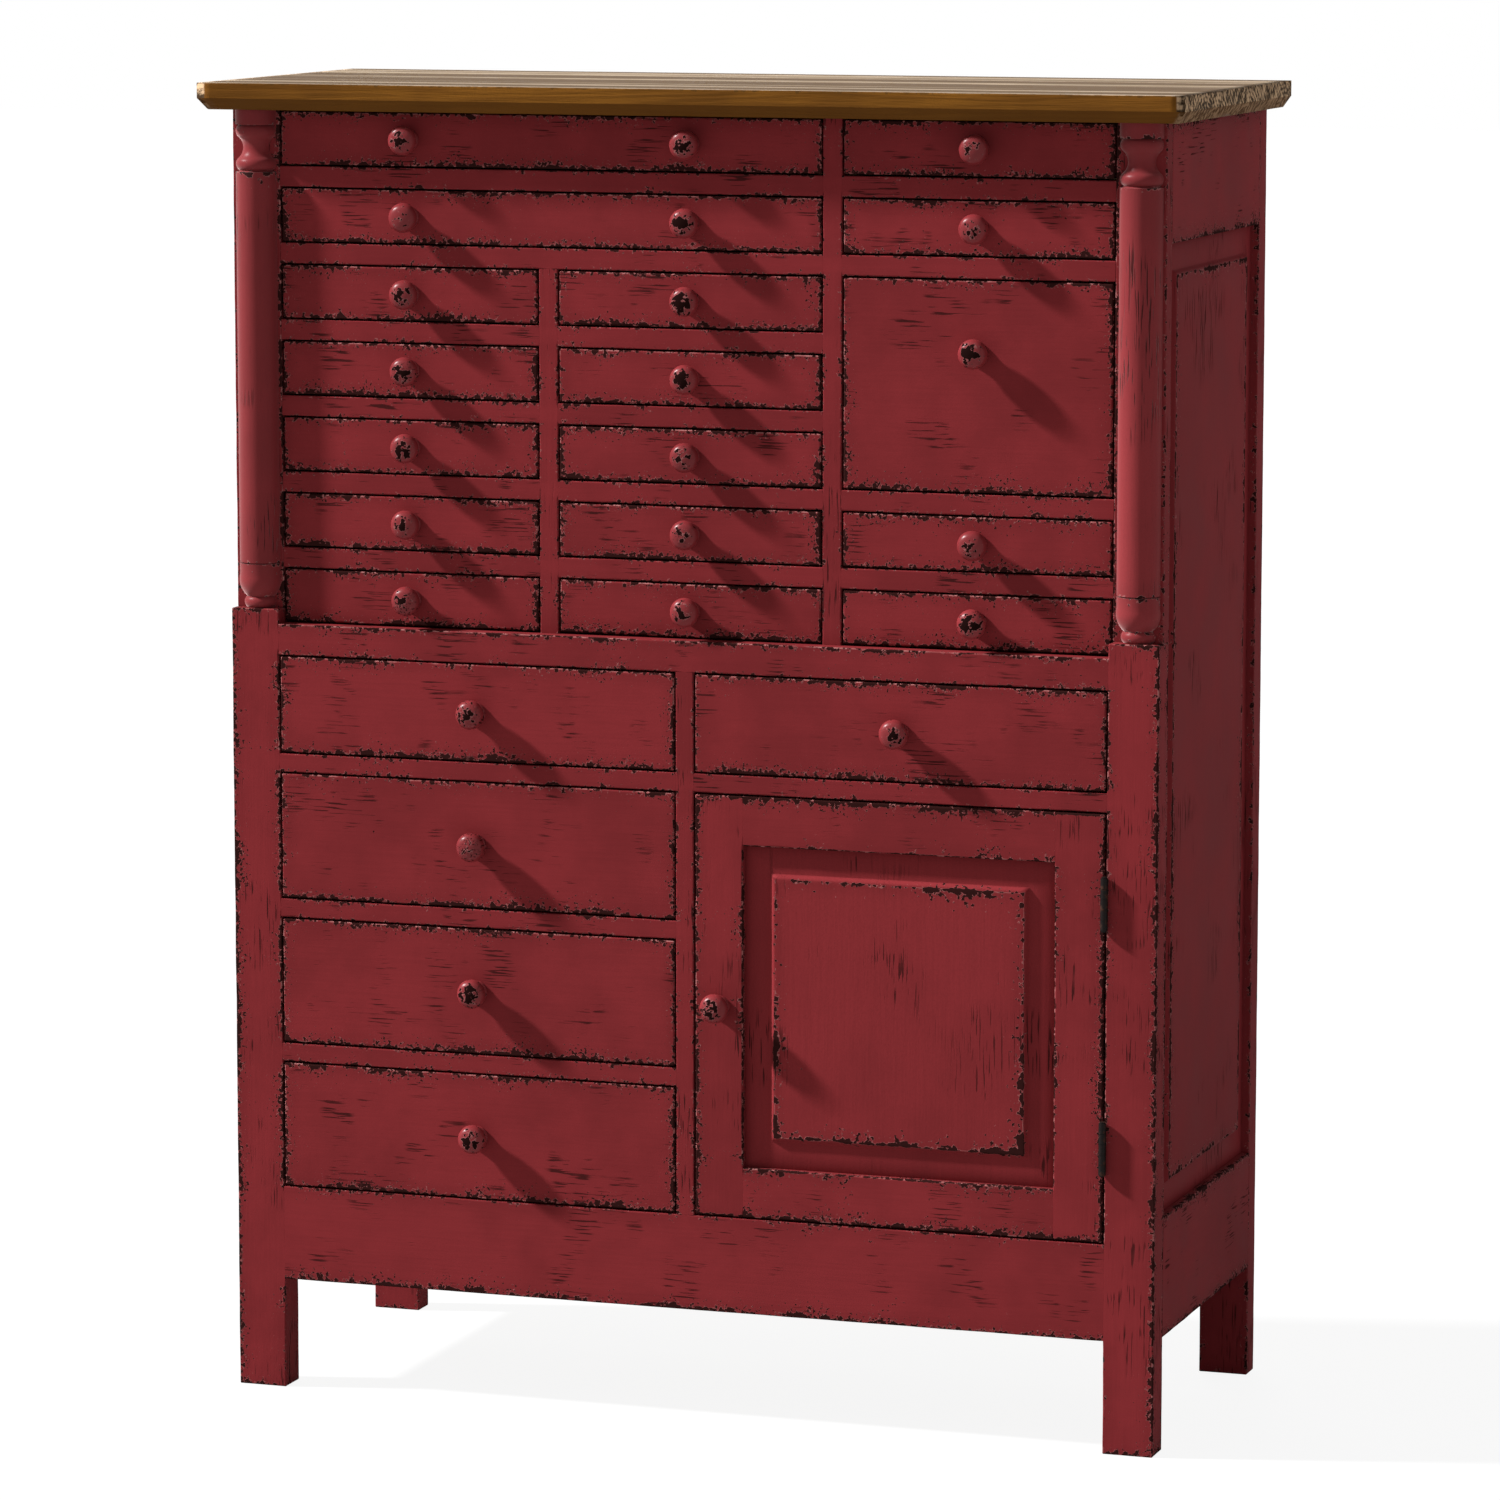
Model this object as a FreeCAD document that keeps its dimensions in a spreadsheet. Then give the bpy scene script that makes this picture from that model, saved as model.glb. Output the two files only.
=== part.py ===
import FreeCAD, Part
import os

import Sketcher
from FreeCAD import Placement, Rotation, Vector

# Multi-drawer chest in its own frame: +Z up, +X to the right, the fronts facing -Y.
# The origin is on the floor, under the middle of the chest's outer box. Lengths are in millimetres.

UPPER_ROWS = 7
LOWER_ROWS = 4
BAYS = 3
TOP_PLANKS = 4
KNUCKLES = 5

# Driving sizes: alias, millimetres, meaning.
SIZES = (
    ("body_width", 1050, "outside of the legs, left to right"),
    ("body_depth", 428, "lower front face to the back"),
    ("leg_width", 55, "leg and stile, left to right"),
    ("leg_depth", 38, "front leg, front to back"),
    ("rear_leg_depth", 30, "rear leg, front to back"),
    ("foot_clearance", 122.5, "floor to the underside of the apron"),
    ("apron_height", 104.5, "apron under the lower drawers"),
    ("lower_row_height", 141, "opening of a lower drawer"),
    ("lower_rail_height", 20, "rail between lower drawers"),
    ("lower_top_row_height", 109, "opening of the shallow lower drawers"),
    ("waist_rail_height", 33.5, "rail between the lower and upper fronts"),
    ("plinth_rise", 16, "front leg top above the waist rail"),
    ("upper_row_height", 61, "opening of an upper drawer"),
    ("upper_rail_height", 22, "rail between upper drawers"),
    ("upper_recess", 17, "upper face behind the lower face"),
    ("upper_muntin", 21, "upright between upper drawers"),
    ("lower_muntin", 20, "upright between the lower drawers and the door"),
    ("top_thickness", 29, "top board"),
    ("top_end_overhang", 27, "top board past each side"),
    ("top_front_overhang", 17, "top board past the lower face"),
    ("top_chamfer_drop", 12.5, "height of the bevel under the top's edge"),
    ("top_chamfer_inset", 9, "depth of the bevel under the top's edge"),
    ("side_board", 22, "thickness of the side rails"),
    ("side_top_rail", 126.5, "height of the side's top rail"),
    ("side_bottom_rail", 130.5, "height of the side's bottom rail"),
    ("panel_sink", 9, "panel margin behind its frame's face"),
    ("panel_thickness", 8, "panel at its margin"),
    ("panel_margin", 30, "flat margin round a panel's raised field"),
    ("field_rise", 5, "raised field above the margin"),
    ("field_shoulder", 4, "width of the sloped edge of the raised field"),
    ("deck_thickness", 18, "bottom board and waist deck"),
    ("back_thickness", 8, "back panel"),
    ("back_rail_height", 80, "rails across the back"),
    ("front_thickness", 18, "drawer front"),
    ("front_gap", 2, "gap round a drawer front and the door"),
    ("box_side", 10, "drawer side"),
    ("box_back", 10, "drawer back"),
    ("box_bottom", 5, "drawer bottom"),
    ("box_bottom_rise", 6, "drawer bottom above the lower edge of its sides"),
    ("box_side_clearance", 2, "drawer side to the edge of its opening"),
    ("box_top_clearance", 8, "drawer side below the top of its opening"),
    ("box_rear_clearance", 13, "drawer back to the chest's back panel"),
    ("running_clearance", 0.3, "drawer side above its runner"),
    ("runner_width", 14, "runner under a drawer side"),
    ("runner_height", 15, "thickness of a runner"),
    ("guide_height", 12, "guide beside a drawer side"),
    ("knob_length", 27, "knob in front of its board"),
    ("knob_radius", 16, "knob head"),
    ("knob_foot_radius", 12, "knob foot on its board"),
    ("knob_foot_height", 2.5, "collar of the knob's foot"),
    ("knob_neck_radius", 10, "narrowest part of the knob"),
    ("knob_neck_height", 7.5, "narrowest part of the knob above its board"),
    ("knob_widest", 16.5, "widest part of the knob above its board"),
    ("knob_face_radius", 10, "gently domed face of the knob"),
    ("knob_face_rise", 1.8, "dome of the knob's face"),
    ("knob_shoulder", 6.6, "centre of the knob's rounded shoulder from its axis"),
    ("deep_knob_drop", 78, "deep drawer's knob below the top of its opening"),
    ("door_thickness", 20, "door frame"),
    ("door_frame_width", 54, "door stiles and rails"),
    ("hinge_gap", 2.5, "door to leg on the hinge side"),
    ("hinge_length", 56, "hinge leaf, top to bottom"),
    ("upper_hinge_drop", 95, "upper hinge's middle below the door's top"),
    ("lower_hinge_rise", 102, "lower hinge's middle above the door's bottom"),
    ("leaf_depth", 16, "hinge leaf, front to back"),
    ("leaf_clearance", 0.5, "between the two leaves of a closed hinge"),
    ("knuckle_radius", 4, "hinge barrel"),
    ("knuckle_standoff", 0.3, "hinge barrel in front of the door"),
    ("knuckle_clearance", 0.3, "between two knuckles of a hinge"),
    ("pin_radius", 1.75, "hinge pin"),
    ("pin_clearance", 0.05, "hinge pin in its knuckles, on the radius"),
    ("pin_head_radius", 3, "head at each end of the hinge pin"),
    ("pin_head_height", 1.5, "head at each end of the hinge pin"),
    ("column_radius", 24, "shaft of the half column"),
    ("column_inset", 4, "column axis behind the upper face"),
    ("foot_bead_radius", 16, "foot bead where it meets the leg"),
    ("foot_bead_height", 12.5, "bead at the foot of the column"),
    ("cup_height", 36, "cup above the foot bead"),
    ("cup_base_radius", 16.5, "lower end of the cup"),
    ("cup_rim_height", 12, "upright rim of the cup"),
    ("groove_height", 1.5, "groove at each end of the shaft"),
    ("groove_depth", 2, "groove at each end of the shaft"),
    ("head_bead_height", 14, "each of the two beads at the column's head"),
    ("head_bead_radius", 20, "head bead at its upper and lower edges"),
    ("cove_height", 21.5, "cove between the head beads"),
    ("block_height", 16.5, "block at the head of the column"),
)

# Places worked out from the sizes: alias, formula, meaning.
PLACES = (
    ("body_half", "=Size.body_width / 2", "outside of a leg"),
    ("opening_half", "=body_half - Size.leg_width", "inside of a leg"),
    ("side_inner", "=body_half - Size.side_board", "inside of the side rails"),
    ("lower_face", "=-(Size.body_depth - Size.knob_length) / 2", "front of the lower part"),
    ("upper_face", "=lower_face + Size.upper_recess", "front of the upper part"),
    ("frame_back", "=lower_face + Size.leg_depth", "back of the front legs and face rails"),
    ("rear_face", "=lower_face + Size.body_depth", "back of the chest"),
    ("back_front", "=rear_face - Size.rear_leg_depth", "front of the rear legs and back panel"),
    ("box_rear", "=back_front - Size.box_rear_clearance", "back of a closed drawer"),
    ("apron_top", "=Size.foot_clearance + Size.apron_height", "floor of the lower openings"),
    ("lower_pitch", "=Size.lower_row_height + Size.lower_rail_height", "from one lower row to the next"),
    ("shallow_row", f"=apron_top + {LOWER_ROWS - 1} * lower_pitch", "floor of the shallow lower drawers"),
    ("door_lintel", "=shallow_row - Size.lower_rail_height", "underside of the rail above the door"),
    ("waist_bottom", "=shallow_row + Size.lower_top_row_height", "underside of the waist rail"),
    ("waist_top", "=waist_bottom + Size.waist_rail_height", "top of the waist rail"),
    ("leg_top", "=waist_top + Size.plinth_rise", "top of the front legs"),
    ("upper_pitch", "=Size.upper_row_height + Size.upper_rail_height", "from one upper row to the next"),
    ("top_underside", f"=waist_top + {UPPER_ROWS} * upper_pitch - Size.upper_rail_height", "under the top"),
    ("top_surface", "=top_underside + Size.top_thickness", "upper surface of the top"),
    ("top_half", "=body_half + Size.top_end_overhang", "end of the top"),
    ("top_front", "=lower_face - Size.top_front_overhang", "front edge of the top"),
    ("plank_width", f"=(rear_face - top_front) / {TOP_PLANKS}", "one plank of the top"),
    ("bay_width", f"=(2 * opening_half - {BAYS - 1} * Size.upper_muntin) / {BAYS}", "a small drawer's opening"),
    ("column_x", "=body_half - Size.leg_width / 2", "axis of a half column"),
    ("column_y", "=upper_face + Size.column_inset", "axis of a half column"),
    ("column_height", "=top_underside - leg_top", "half column, foot to head"),
    ("panel_back", "=Size.panel_sink + Size.panel_thickness", "back of a panel behind its frame's face"),
    ("side_panel_bottom", "=Size.foot_clearance + Size.side_bottom_rail", "lower edge of a side panel"),
    ("side_panel_top", "=top_underside - Size.side_top_rail", "upper edge of a side panel"),
    ("door_left", "=Size.lower_muntin / 2 + Size.front_gap", "free edge of the door"),
    ("door_right", "=opening_half - Size.hinge_gap", "hinged edge of the door"),
    ("door_bottom", "=apron_top + Size.front_gap", "lower edge of the door"),
    ("door_top", "=door_lintel - Size.front_gap", "upper edge of the door"),
    ("hinge_x", "=opening_half - Size.hinge_gap / 2", "axis of the hinges"),
    ("hinge_y", "=lower_face - Size.knuckle_radius - Size.knuckle_standoff", "axis of the hinges"),
)

doc = FreeCAD.newDocument("multi_drawer_chest")


def make_sheet(name, rows):
    """A sheet with one named cell per row, beside its meaning."""
    sheet = doc.addObject("Spreadsheet::Sheet", name)
    for number, (alias, content, meaning) in enumerate(rows, start=1):
        sheet.set(f"A{number}", meaning)
        sheet.set(f"B{number}", str(content))
        sheet.setAlias(f"B{number}", alias)
    doc.recompute()
    return sheet


make_sheet("Size", SIZES)
place = make_sheet("Place", PLACES)
nodes = []


def value(formula):
    """What a formula on the two sheets comes to, as a plain number."""
    return float(place.evalExpression(formula))


def middle(span):
    """The formula for the middle of a pair of limits."""
    low, high = span
    return f"(({low}) + ({high})) / 2"


def mirrored(span):
    """The same pair of limits on the other side of the middle plane."""
    low, high = span
    return f"-({high})", f"-({low})"


def move_to(item, x, y, z, rotation=Rotation()):
    """Turn an object, then bind its place to three formulas."""
    item.Placement = Placement(Vector(), rotation)
    item.setExpression("Placement.Base.x", x)
    item.setExpression("Placement.Base.y", y)
    item.setExpression("Placement.Base.z", z)


def board(name, x, y, z):
    """A squared board between three pairs of limits, each a formula."""
    box = doc.addObject("Part::Box", name)
    for side, (low, high) in (("Length", x), ("Width", y), ("Height", z)):
        box.setExpression(side, f"({high}) - ({low})")
    move_to(box, x[0], y[0], z[0])
    return box


def rod(name, radius, x, y, z):
    """An upright cylinder on an axis at x and y, between a pair of heights."""
    cylinder = doc.addObject("Part::Cylinder", name)
    cylinder.setExpression("Radius", radius)
    cylinder.setExpression("Height", f"({z[1]}) - ({z[0]})")
    move_to(cylinder, x, y, z[0])
    return cylinder


def fuse(name, pieces):
    """One solid from several that overlap or share a face."""
    union = doc.addObject("Part::MultiFuse", name)
    union.Shapes = pieces
    union.Refine = True
    return union


def node(label, pieces):
    """A named sub-part made of separate solids."""
    group = doc.addObject("Part::Compound", label)
    group.Label = label
    group.Links = pieces
    nodes.append(group)


def new_sketch(body, name, role):
    """A sketch on one of the body's own origin planes."""
    plane = next(feature for feature in body.Origin.OriginFeatures if feature.Role == role)
    sketch = body.newObject("Sketcher::SketchObject", name)
    sketch.AttachmentSupport = [(plane, "")]
    sketch.MapMode = "FlatFace"
    return sketch


def bind(sketch, name, constraint, formula):
    """Add a named dimension to a sketch and bind it to a formula."""
    index = sketch.addConstraint(constraint)
    sketch.renameConstraint(index, name)
    sketch.setExpression(f"Constraints.{name}", formula)


def centred_rectangle(sketch, width, height):
    """A rectangle about the sketch's origin, its two sizes bound to formulas."""
    right = value(width) / 2
    upper = value(height) / 2
    corners = [Vector(-right, -upper), Vector(right, -upper), Vector(right, upper), Vector(-right, upper)]
    for start, end in zip(corners, corners[1:] + corners[:1]):
        sketch.addGeometry(Part.LineSegment(start, end))
    for line in range(4):
        sketch.addConstraint(Sketcher.Constraint("Coincident", line, 2, (line + 1) % 4, 1))
        sketch.addConstraint(Sketcher.Constraint("Vertical" if line % 2 else "Horizontal", line))
    sketch.addConstraint(Sketcher.Constraint("Symmetric", 0, 1, 2, 1, -1, 1))
    bind(sketch, "width", Sketcher.Constraint("DistanceX", 0, 1, 0, 2, 2 * right), width)
    bind(sketch, "height", Sketcher.Constraint("DistanceY", 1, 1, 1, 2, 2 * upper), height)


def arc_middle(start, end, centre_radius):
    """The point halfway along the shorter arc between two points whose centre is so far from the axis."""
    chord = end - start
    halfway = (start + end) / 2
    centre = Vector(centre_radius, halfway.y - (centre_radius - halfway.x) * chord.x / chord.y)
    return centre + (halfway - centre).normalize() * (start - centre).Length


def turned_outline(sketch, outline):
    """Half the section of a turning, from the axis at its lower end round to the axis at its upper end.

    Each row is a radius, a height and None for a straight run from the row before, or the distance from the
    axis of the centre of an arc. The axis itself closes the outline.
    """
    points = [Vector(value(radius), value(height)) for radius, height, _ in outline]
    ends = []
    for number in range(1, len(outline)):
        start, end = points[number - 1], points[number]
        centre = outline[number][2]
        hollow = centre is not None and value(centre) > (start.x + end.x) / 2
        if centre is None:
            edge = Part.LineSegment(start, end)
        elif hollow:
            edge = Part.Arc(end, arc_middle(start, end, value(centre)), start)
        else:
            edge = Part.Arc(start, arc_middle(start, end, value(centre)), end)
        line = sketch.addGeometry(edge)
        ends.append((line, 2, 1) if hollow else (line, 1, 2))
    axis = sketch.addGeometry(Part.LineSegment(points[-1], points[0]))
    ends.append((axis, 1, 2))
    for (line, _, last), (following, first, _) in zip(ends, ends[1:] + ends[:1]):
        sketch.addConstraint(Sketcher.Constraint("Coincident", line, last, following, first))
    for number, ((line, first, _), (radius, height, _)) in enumerate(zip(ends, outline)):
        hold(sketch, f"radius_{number}", "DistanceX", line, first, radius)
        hold(sketch, f"height_{number}", "DistanceY", line, first, height)
    for (line, _, _), (_, _, centre) in zip(ends, outline[1:]):
        if centre is not None:
            hold(sketch, f"centre_{line}", "DistanceX", line, 3, centre)


def hold(sketch, name, direction, line, point, formula):
    """Hold one point of a sketch at a bound distance from an axis, or on the axis itself."""
    if formula == "0":
        axis = -2 if direction == "DistanceX" else -1
        sketch.addConstraint(Sketcher.Constraint("PointOnObject", line, point, axis))
    else:
        bind(sketch, name, Sketcher.Constraint(direction, -1, 1, line, point, value(formula)), formula)


def turning(name, outline):
    """A body turned about its own Z axis."""
    body = doc.addObject("PartDesign::Body", name)
    sketch = new_sketch(body, f"{name}_outline", "XZ_Plane")
    turned_outline(sketch, outline)
    revolution = body.newObject("PartDesign::Revolution", f"{name}_turned")
    revolution.Profile = sketch
    revolution.ReferenceAxis = (sketch, ["V_Axis"])
    revolution.Angle = 360
    return body


def stack(heights):
    """Running totals of a list of height formulas, from the ground up."""
    totals = []
    for height in heights:
        totals.append(f"{totals[-1]} + {height}" if totals else height)
    return totals


# Heights of the rows and limits of the bays

def upper_row(row):
    """Lower and upper limit of an upper opening, row 1 under the top."""
    low = f"Place.waist_top + {UPPER_ROWS - row} * Place.upper_pitch"
    return low, f"{low} + Size.upper_row_height"


def lower_row(row):
    """Lower and upper limit of a lower opening, row 1 under the waist rail."""
    if row == 1:
        return "Place.shallow_row", "Place.waist_bottom"
    low = f"Place.apron_top + {LOWER_ROWS - row} * Place.lower_pitch"
    return low, f"{low} + Size.lower_row_height"


def bay(number):
    """Left and right limit of a bay of small drawers, 0 on the left."""
    low = f"-Place.opening_half + {number} * (Place.bay_width + Size.upper_muntin)"
    return low, f"{low} + Place.bay_width"


left_bay, middle_bay, right_bay = (bay(number) for number in range(BAYS))
wide_bay = (left_bay[0], middle_bay[1])
left_muntin = (left_bay[1], middle_bay[0])
right_muntin = (middle_bay[1], right_bay[0])
lower_muntin = ("-Size.lower_muntin / 2", "Size.lower_muntin / 2")
lower_left_bay = ("-Place.opening_half", lower_muntin[0])
lower_right_bay = (lower_muntin[1], "Place.opening_half")
full_width = ("-Place.opening_half", "Place.opening_half")
inner_width = ("-Place.side_inner", "Place.side_inner")
behind_face = ("Place.frame_back", "Place.back_front")
upper_frame = ("Place.upper_face", "Place.frame_back")
lower_frame = ("Place.lower_face", "Place.frame_back")
rear_frame = ("Place.back_front", "Place.rear_face")
leg_right = ("Place.opening_half", "Place.body_half")

# Carcass: legs, stiles, columns and sides

both_legs = {"left": mirrored(leg_right), "right": leg_right}
legs = []
stiles = []
for hand, span in both_legs.items():
    legs.append(board(f"front_leg_{hand}", span, lower_frame, ("0", "Place.leg_top")))
    legs.append(board(f"rear_leg_{hand}", span, rear_frame, ("0", "Place.top_underside")))
    stiles.append(board(f"stile_{hand}", span, upper_frame, ("Place.leg_top", "Place.top_underside")))
node("legs", legs)
node("upper_corner_stiles", stiles)


def column_outline():
    """Foot bead, cup, grooved shaft, then a cove between two beads and a block, from the leg up."""
    foot_centre = "Size.foot_bead_radius - Size.foot_bead_height / 3"
    head_centre = "Size.head_bead_radius - Size.head_bead_height / 3"
    cup_top, shaft_start = stack(("Size.foot_bead_height + Size.cup_height", "Size.groove_height"))
    cup_rim = f"{cup_top} - Size.cup_rim_height"
    groove = "Size.column_radius - Size.groove_depth"
    drops = ("Size.block_height", "Size.head_bead_height", "Size.cove_height", "Size.head_bead_height",
             "Size.groove_height")
    block, cove_top, cove_start, bead, shaft_end = (f"Place.column_height - ({drop})" for drop in stack(drops))
    return (
        ("0", "0", None),
        ("Size.foot_bead_radius", "0", None),
        ("Size.foot_bead_radius", "Size.foot_bead_height", foot_centre),
        ("Size.cup_base_radius", "Size.foot_bead_height", None),
        ("Size.column_radius", cup_rim, "0"),
        ("Size.column_radius", cup_top, None),
        (groove, cup_top, None),
        (groove, shaft_start, None),
        ("Size.column_radius", shaft_start, None),
        ("Size.column_radius", shaft_end, None),
        (groove, shaft_end, None),
        ("Size.head_bead_radius", bead, None),
        ("Size.head_bead_radius", cove_start, head_centre),
        ("Size.head_bead_radius", cove_top, "Size.head_bead_radius + Size.cove_height / 2"),
        ("Size.head_bead_radius", block, head_centre),
        ("Size.column_radius", block, None),
        ("Size.column_radius", "Place.column_height", None),
        ("0", "Place.column_height", None),
    )


def half_column(hand, x):
    """A turned column with its back sawn off flat where it meets the stile."""
    turned = turning(f"column_{hand}", column_outline())
    move_to(turned, x, "Place.column_y", "Place.leg_top")
    waste_x = (f"({x}) - 2 * Size.column_radius", f"({x}) + 2 * Size.column_radius")
    waste_y = ("Place.upper_face", "Place.column_y + 2 * Size.column_radius")
    waste = board(f"column_{hand}_waste", waste_x, waste_y, ("Place.leg_top", "Place.top_underside"))
    sawn = doc.addObject("Part::Cut", f"half_column_{hand}")
    sawn.Base = turned
    sawn.Tool = waste
    return sawn


node("half_columns", [half_column("left", "-Place.column_x"), half_column("right", "Place.column_x")])


def raised_panel(name, width, height):
    """A panel in its own XY plane, facing +Z: a flat margin round a raised field with sloped edges."""
    body = doc.addObject("PartDesign::Body", name)
    margin = new_sketch(body, f"{name}_margin", "XY_Plane")
    centred_rectangle(margin, width, height)
    slab = body.newObject("PartDesign::Pad", f"{name}_slab")
    slab.Profile = margin
    slab.setExpression("Length", "Size.panel_thickness")
    rim = new_sketch(body, f"{name}_field", "XY_Plane")
    rim.setExpression("AttachmentOffset.Base.z", "Size.panel_thickness")
    centred_rectangle(rim, f"{width} - 2 * Size.panel_margin", f"{height} - 2 * Size.panel_margin")
    field = body.newObject("PartDesign::Pad", f"{name}_raised")
    field.Profile = rim
    field.setExpression("Length", "Size.field_rise")
    field.setExpression("TaperAngle", "-atan(Size.field_shoulder / Size.field_rise)")
    return body


side_span = ("Place.side_inner", "Place.body_half")
side_bottom = ("Size.foot_clearance", "Place.side_panel_bottom")
side_top = ("Place.side_panel_top", "Place.top_underside")
outward = {
    "left": Rotation(Vector(0, -1, 0), Vector(0, 0, 1), Vector(-1, 0, 0)),
    "right": Rotation(Vector(0, 1, 0), Vector(0, 0, 1), Vector(1, 0, 0)),
}
side_rails = []
side_panels = []
for hand, span in {"left": mirrored(side_span), "right": side_span}.items():
    side_rails.append(board(f"side_bottom_rail_{hand}", span, behind_face, side_bottom))
    side_rails.append(board(f"side_top_rail_{hand}", span, behind_face, side_top))
    panel = raised_panel(
        f"side_panel_{hand}",
        "Place.back_front - Place.frame_back",
        "Place.side_panel_top - Place.side_panel_bottom",
    )
    panel_x = "Place.body_half - Place.panel_back"
    move_to(
        panel,
        panel_x if hand == "right" else f"-({panel_x})",
        middle(behind_face),
        "(Place.side_panel_bottom + Place.side_panel_top) / 2",
        outward[hand],
    )
    side_panels.append(panel)
node("side_rails", side_rails)
node("side_panels", side_panels)


def top_plank(number):
    """One plank of the top, bevelled under its ends, and under its front edge if it is the front one."""
    low = f"Place.top_front + {number} * Place.plank_width"
    high = f"{low} + Place.plank_width"
    bevel_top = "Place.top_underside + Size.top_chamfer_drop"
    upper = board(f"plank_{number}_edge", ("-Place.top_half", "Place.top_half"), (low, high),
                  (bevel_top, "Place.top_surface"))
    lower = doc.addObject("Part::Wedge", f"plank_{number}_bevel")
    lower_half = "Place.top_half - Size.top_chamfer_inset"
    lower_front = f"{low} + Size.top_chamfer_inset" if number == 0 else low
    limits = {
        "Ymin": "Place.top_underside", "Ymax": bevel_top,
        "Xmin": f"-({lower_half})", "Xmax": lower_half,
        "Zmin": f"-({high})", "Zmax": f"-({lower_front})",
        "X2min": "-Place.top_half", "X2max": "Place.top_half",
        "Z2min": f"-({high})", "Z2max": f"-({low})",
    }
    for limit, formula in limits.items():
        lower.setExpression(limit, formula)
    lower.Placement = Placement(Vector(), Rotation(Vector(1, 0, 0), 90))
    return fuse(f"plank_{number}", [upper, lower])


node("top_planks", [top_plank(number) for number in range(TOP_PLANKS)])

# Face frame

upper_rails = []
rail_rows = {
    "wide": (wide_bay, (1, 2)),
    "left": (left_bay, (3, 4, 5, 6)),
    "middle": (middle_bay, (3, 4, 5, 6)),
    "right": (right_bay, (1, 2, 5, 6)),
}
for name, (span, rows) in rail_rows.items():
    for row in rows:
        height = (upper_row(row + 1)[1], upper_row(row)[0])
        upper_rails.append(board(f"upper_rail_{name}_{row}", span, upper_frame, height))
left_muntin_height = ("Place.waist_top", upper_row(3)[1])
right_muntin_height = ("Place.waist_top", "Place.top_underside")
upper_rails.append(board("upper_muntin_left", left_muntin, upper_frame, left_muntin_height))
upper_rails.append(board("upper_muntin_right", right_muntin, upper_frame, right_muntin_height))
node("upper_face_rails", upper_rails)

lower_rails = [
    board("waist_rail", full_width, lower_frame, ("Place.waist_bottom", "Place.waist_top")),
    board("apron", full_width, lower_frame, ("Size.foot_clearance", "Place.apron_top")),
    board("lower_muntin", lower_muntin, lower_frame, ("Place.apron_top", "Place.waist_bottom")),
    board("lintel_rail", lower_right_bay, lower_frame, ("Place.door_lintel", "Place.shallow_row")),
]
for row in range(1, LOWER_ROWS):
    height = (lower_row(row + 1)[1], lower_row(row)[0])
    lower_rails.append(board(f"lower_rail_{row}", lower_left_bay, lower_frame, height))
node("lower_face_rails", lower_rails)

# Inside of the carcass

deck_height = ("Place.waist_top - Size.deck_thickness", "Place.waist_top")
floor_height = ("Place.apron_top - Size.deck_thickness", "Place.apron_top")
back_rail_depth = ("Place.back_front + Size.back_thickness", "Place.rear_face")
back_top = ("Place.top_underside - Size.back_rail_height", "Place.top_underside")
back_bottom = ("Size.foot_clearance", "Size.foot_clearance + Size.back_rail_height")
node("case_boards", [
    board("bottom_board", inner_width, behind_face, floor_height),
    board("waist_deck", inner_width, behind_face, deck_height),
    board("upper_partition_left", left_muntin, behind_face, left_muntin_height),
    board("upper_partition_right", right_muntin, behind_face, right_muntin_height),
    board("lower_partition", lower_muntin, behind_face, ("Place.apron_top", deck_height[0])),
    board("back_top_rail", full_width, back_rail_depth, back_top),
    board("back_bottom_rail", full_width, back_rail_depth, back_bottom),
])
back_depth = ("Place.back_front", "Place.back_front + Size.back_thickness")
node("back_panel", [
    board("back_boarding", full_width, back_depth, ("Size.foot_clearance", "Place.top_underside")),
])

# Runners and guides

outer_runner = ("Place.opening_half - Size.runner_width", "Place.side_inner")
outer_guide = ("Place.opening_half", "Place.side_inner")
runners = []


def add_runner(name, span, floor):
    """A strip from the face frame to the back, its top at the floor of an opening."""
    runners.append(board(f"runner_{name}", span, behind_face, (f"{floor} - Size.runner_height", floor)))


def add_guide(name, span, floor):
    """A strip on a runner or deck that keeps a drawer from drifting behind a leg."""
    runners.append(board(f"guide_{name}", span, behind_face, (floor, f"{floor} + Size.guide_height")))


def strip_left_of(upright):
    """Limits of a runner on the left of an upright."""
    return f"{upright[0]} - Size.runner_width", upright[0]


def strip_right_of(upright):
    """Limits of a runner on the right of an upright."""
    return upright[1], f"{upright[1]} + Size.runner_width"


runner_rows = {
    "upper_outer_left": (mirrored(outer_runner), upper_row, (1, 2, 3, 4, 5, 6)),
    "upper_left_inner": (strip_left_of(left_muntin), upper_row, (3, 4, 5, 6)),
    "upper_middle_left": (strip_right_of(left_muntin), upper_row, (3, 4, 5, 6)),
    "upper_middle_right": (strip_left_of(right_muntin), upper_row, (1, 2, 3, 4, 5, 6)),
    "upper_right_inner": (strip_right_of(right_muntin), upper_row, (1, 2, 5, 6)),
    "upper_outer_right": (outer_runner, upper_row, (1, 2, 5, 6)),
    "lower_outer_left": (mirrored(outer_runner), lower_row, (1, 2, 3)),
    "lower_left_inner": (strip_left_of(lower_muntin), lower_row, (1, 2, 3)),
    "lower_right_inner": (strip_right_of(lower_muntin), lower_row, (1,)),
    "lower_outer_right": (outer_runner, lower_row, (1,)),
}
for name, (span, rows_of, rows) in runner_rows.items():
    for row in rows:
        add_runner(f"{name}_{row}", span, rows_of(row)[0])
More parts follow.
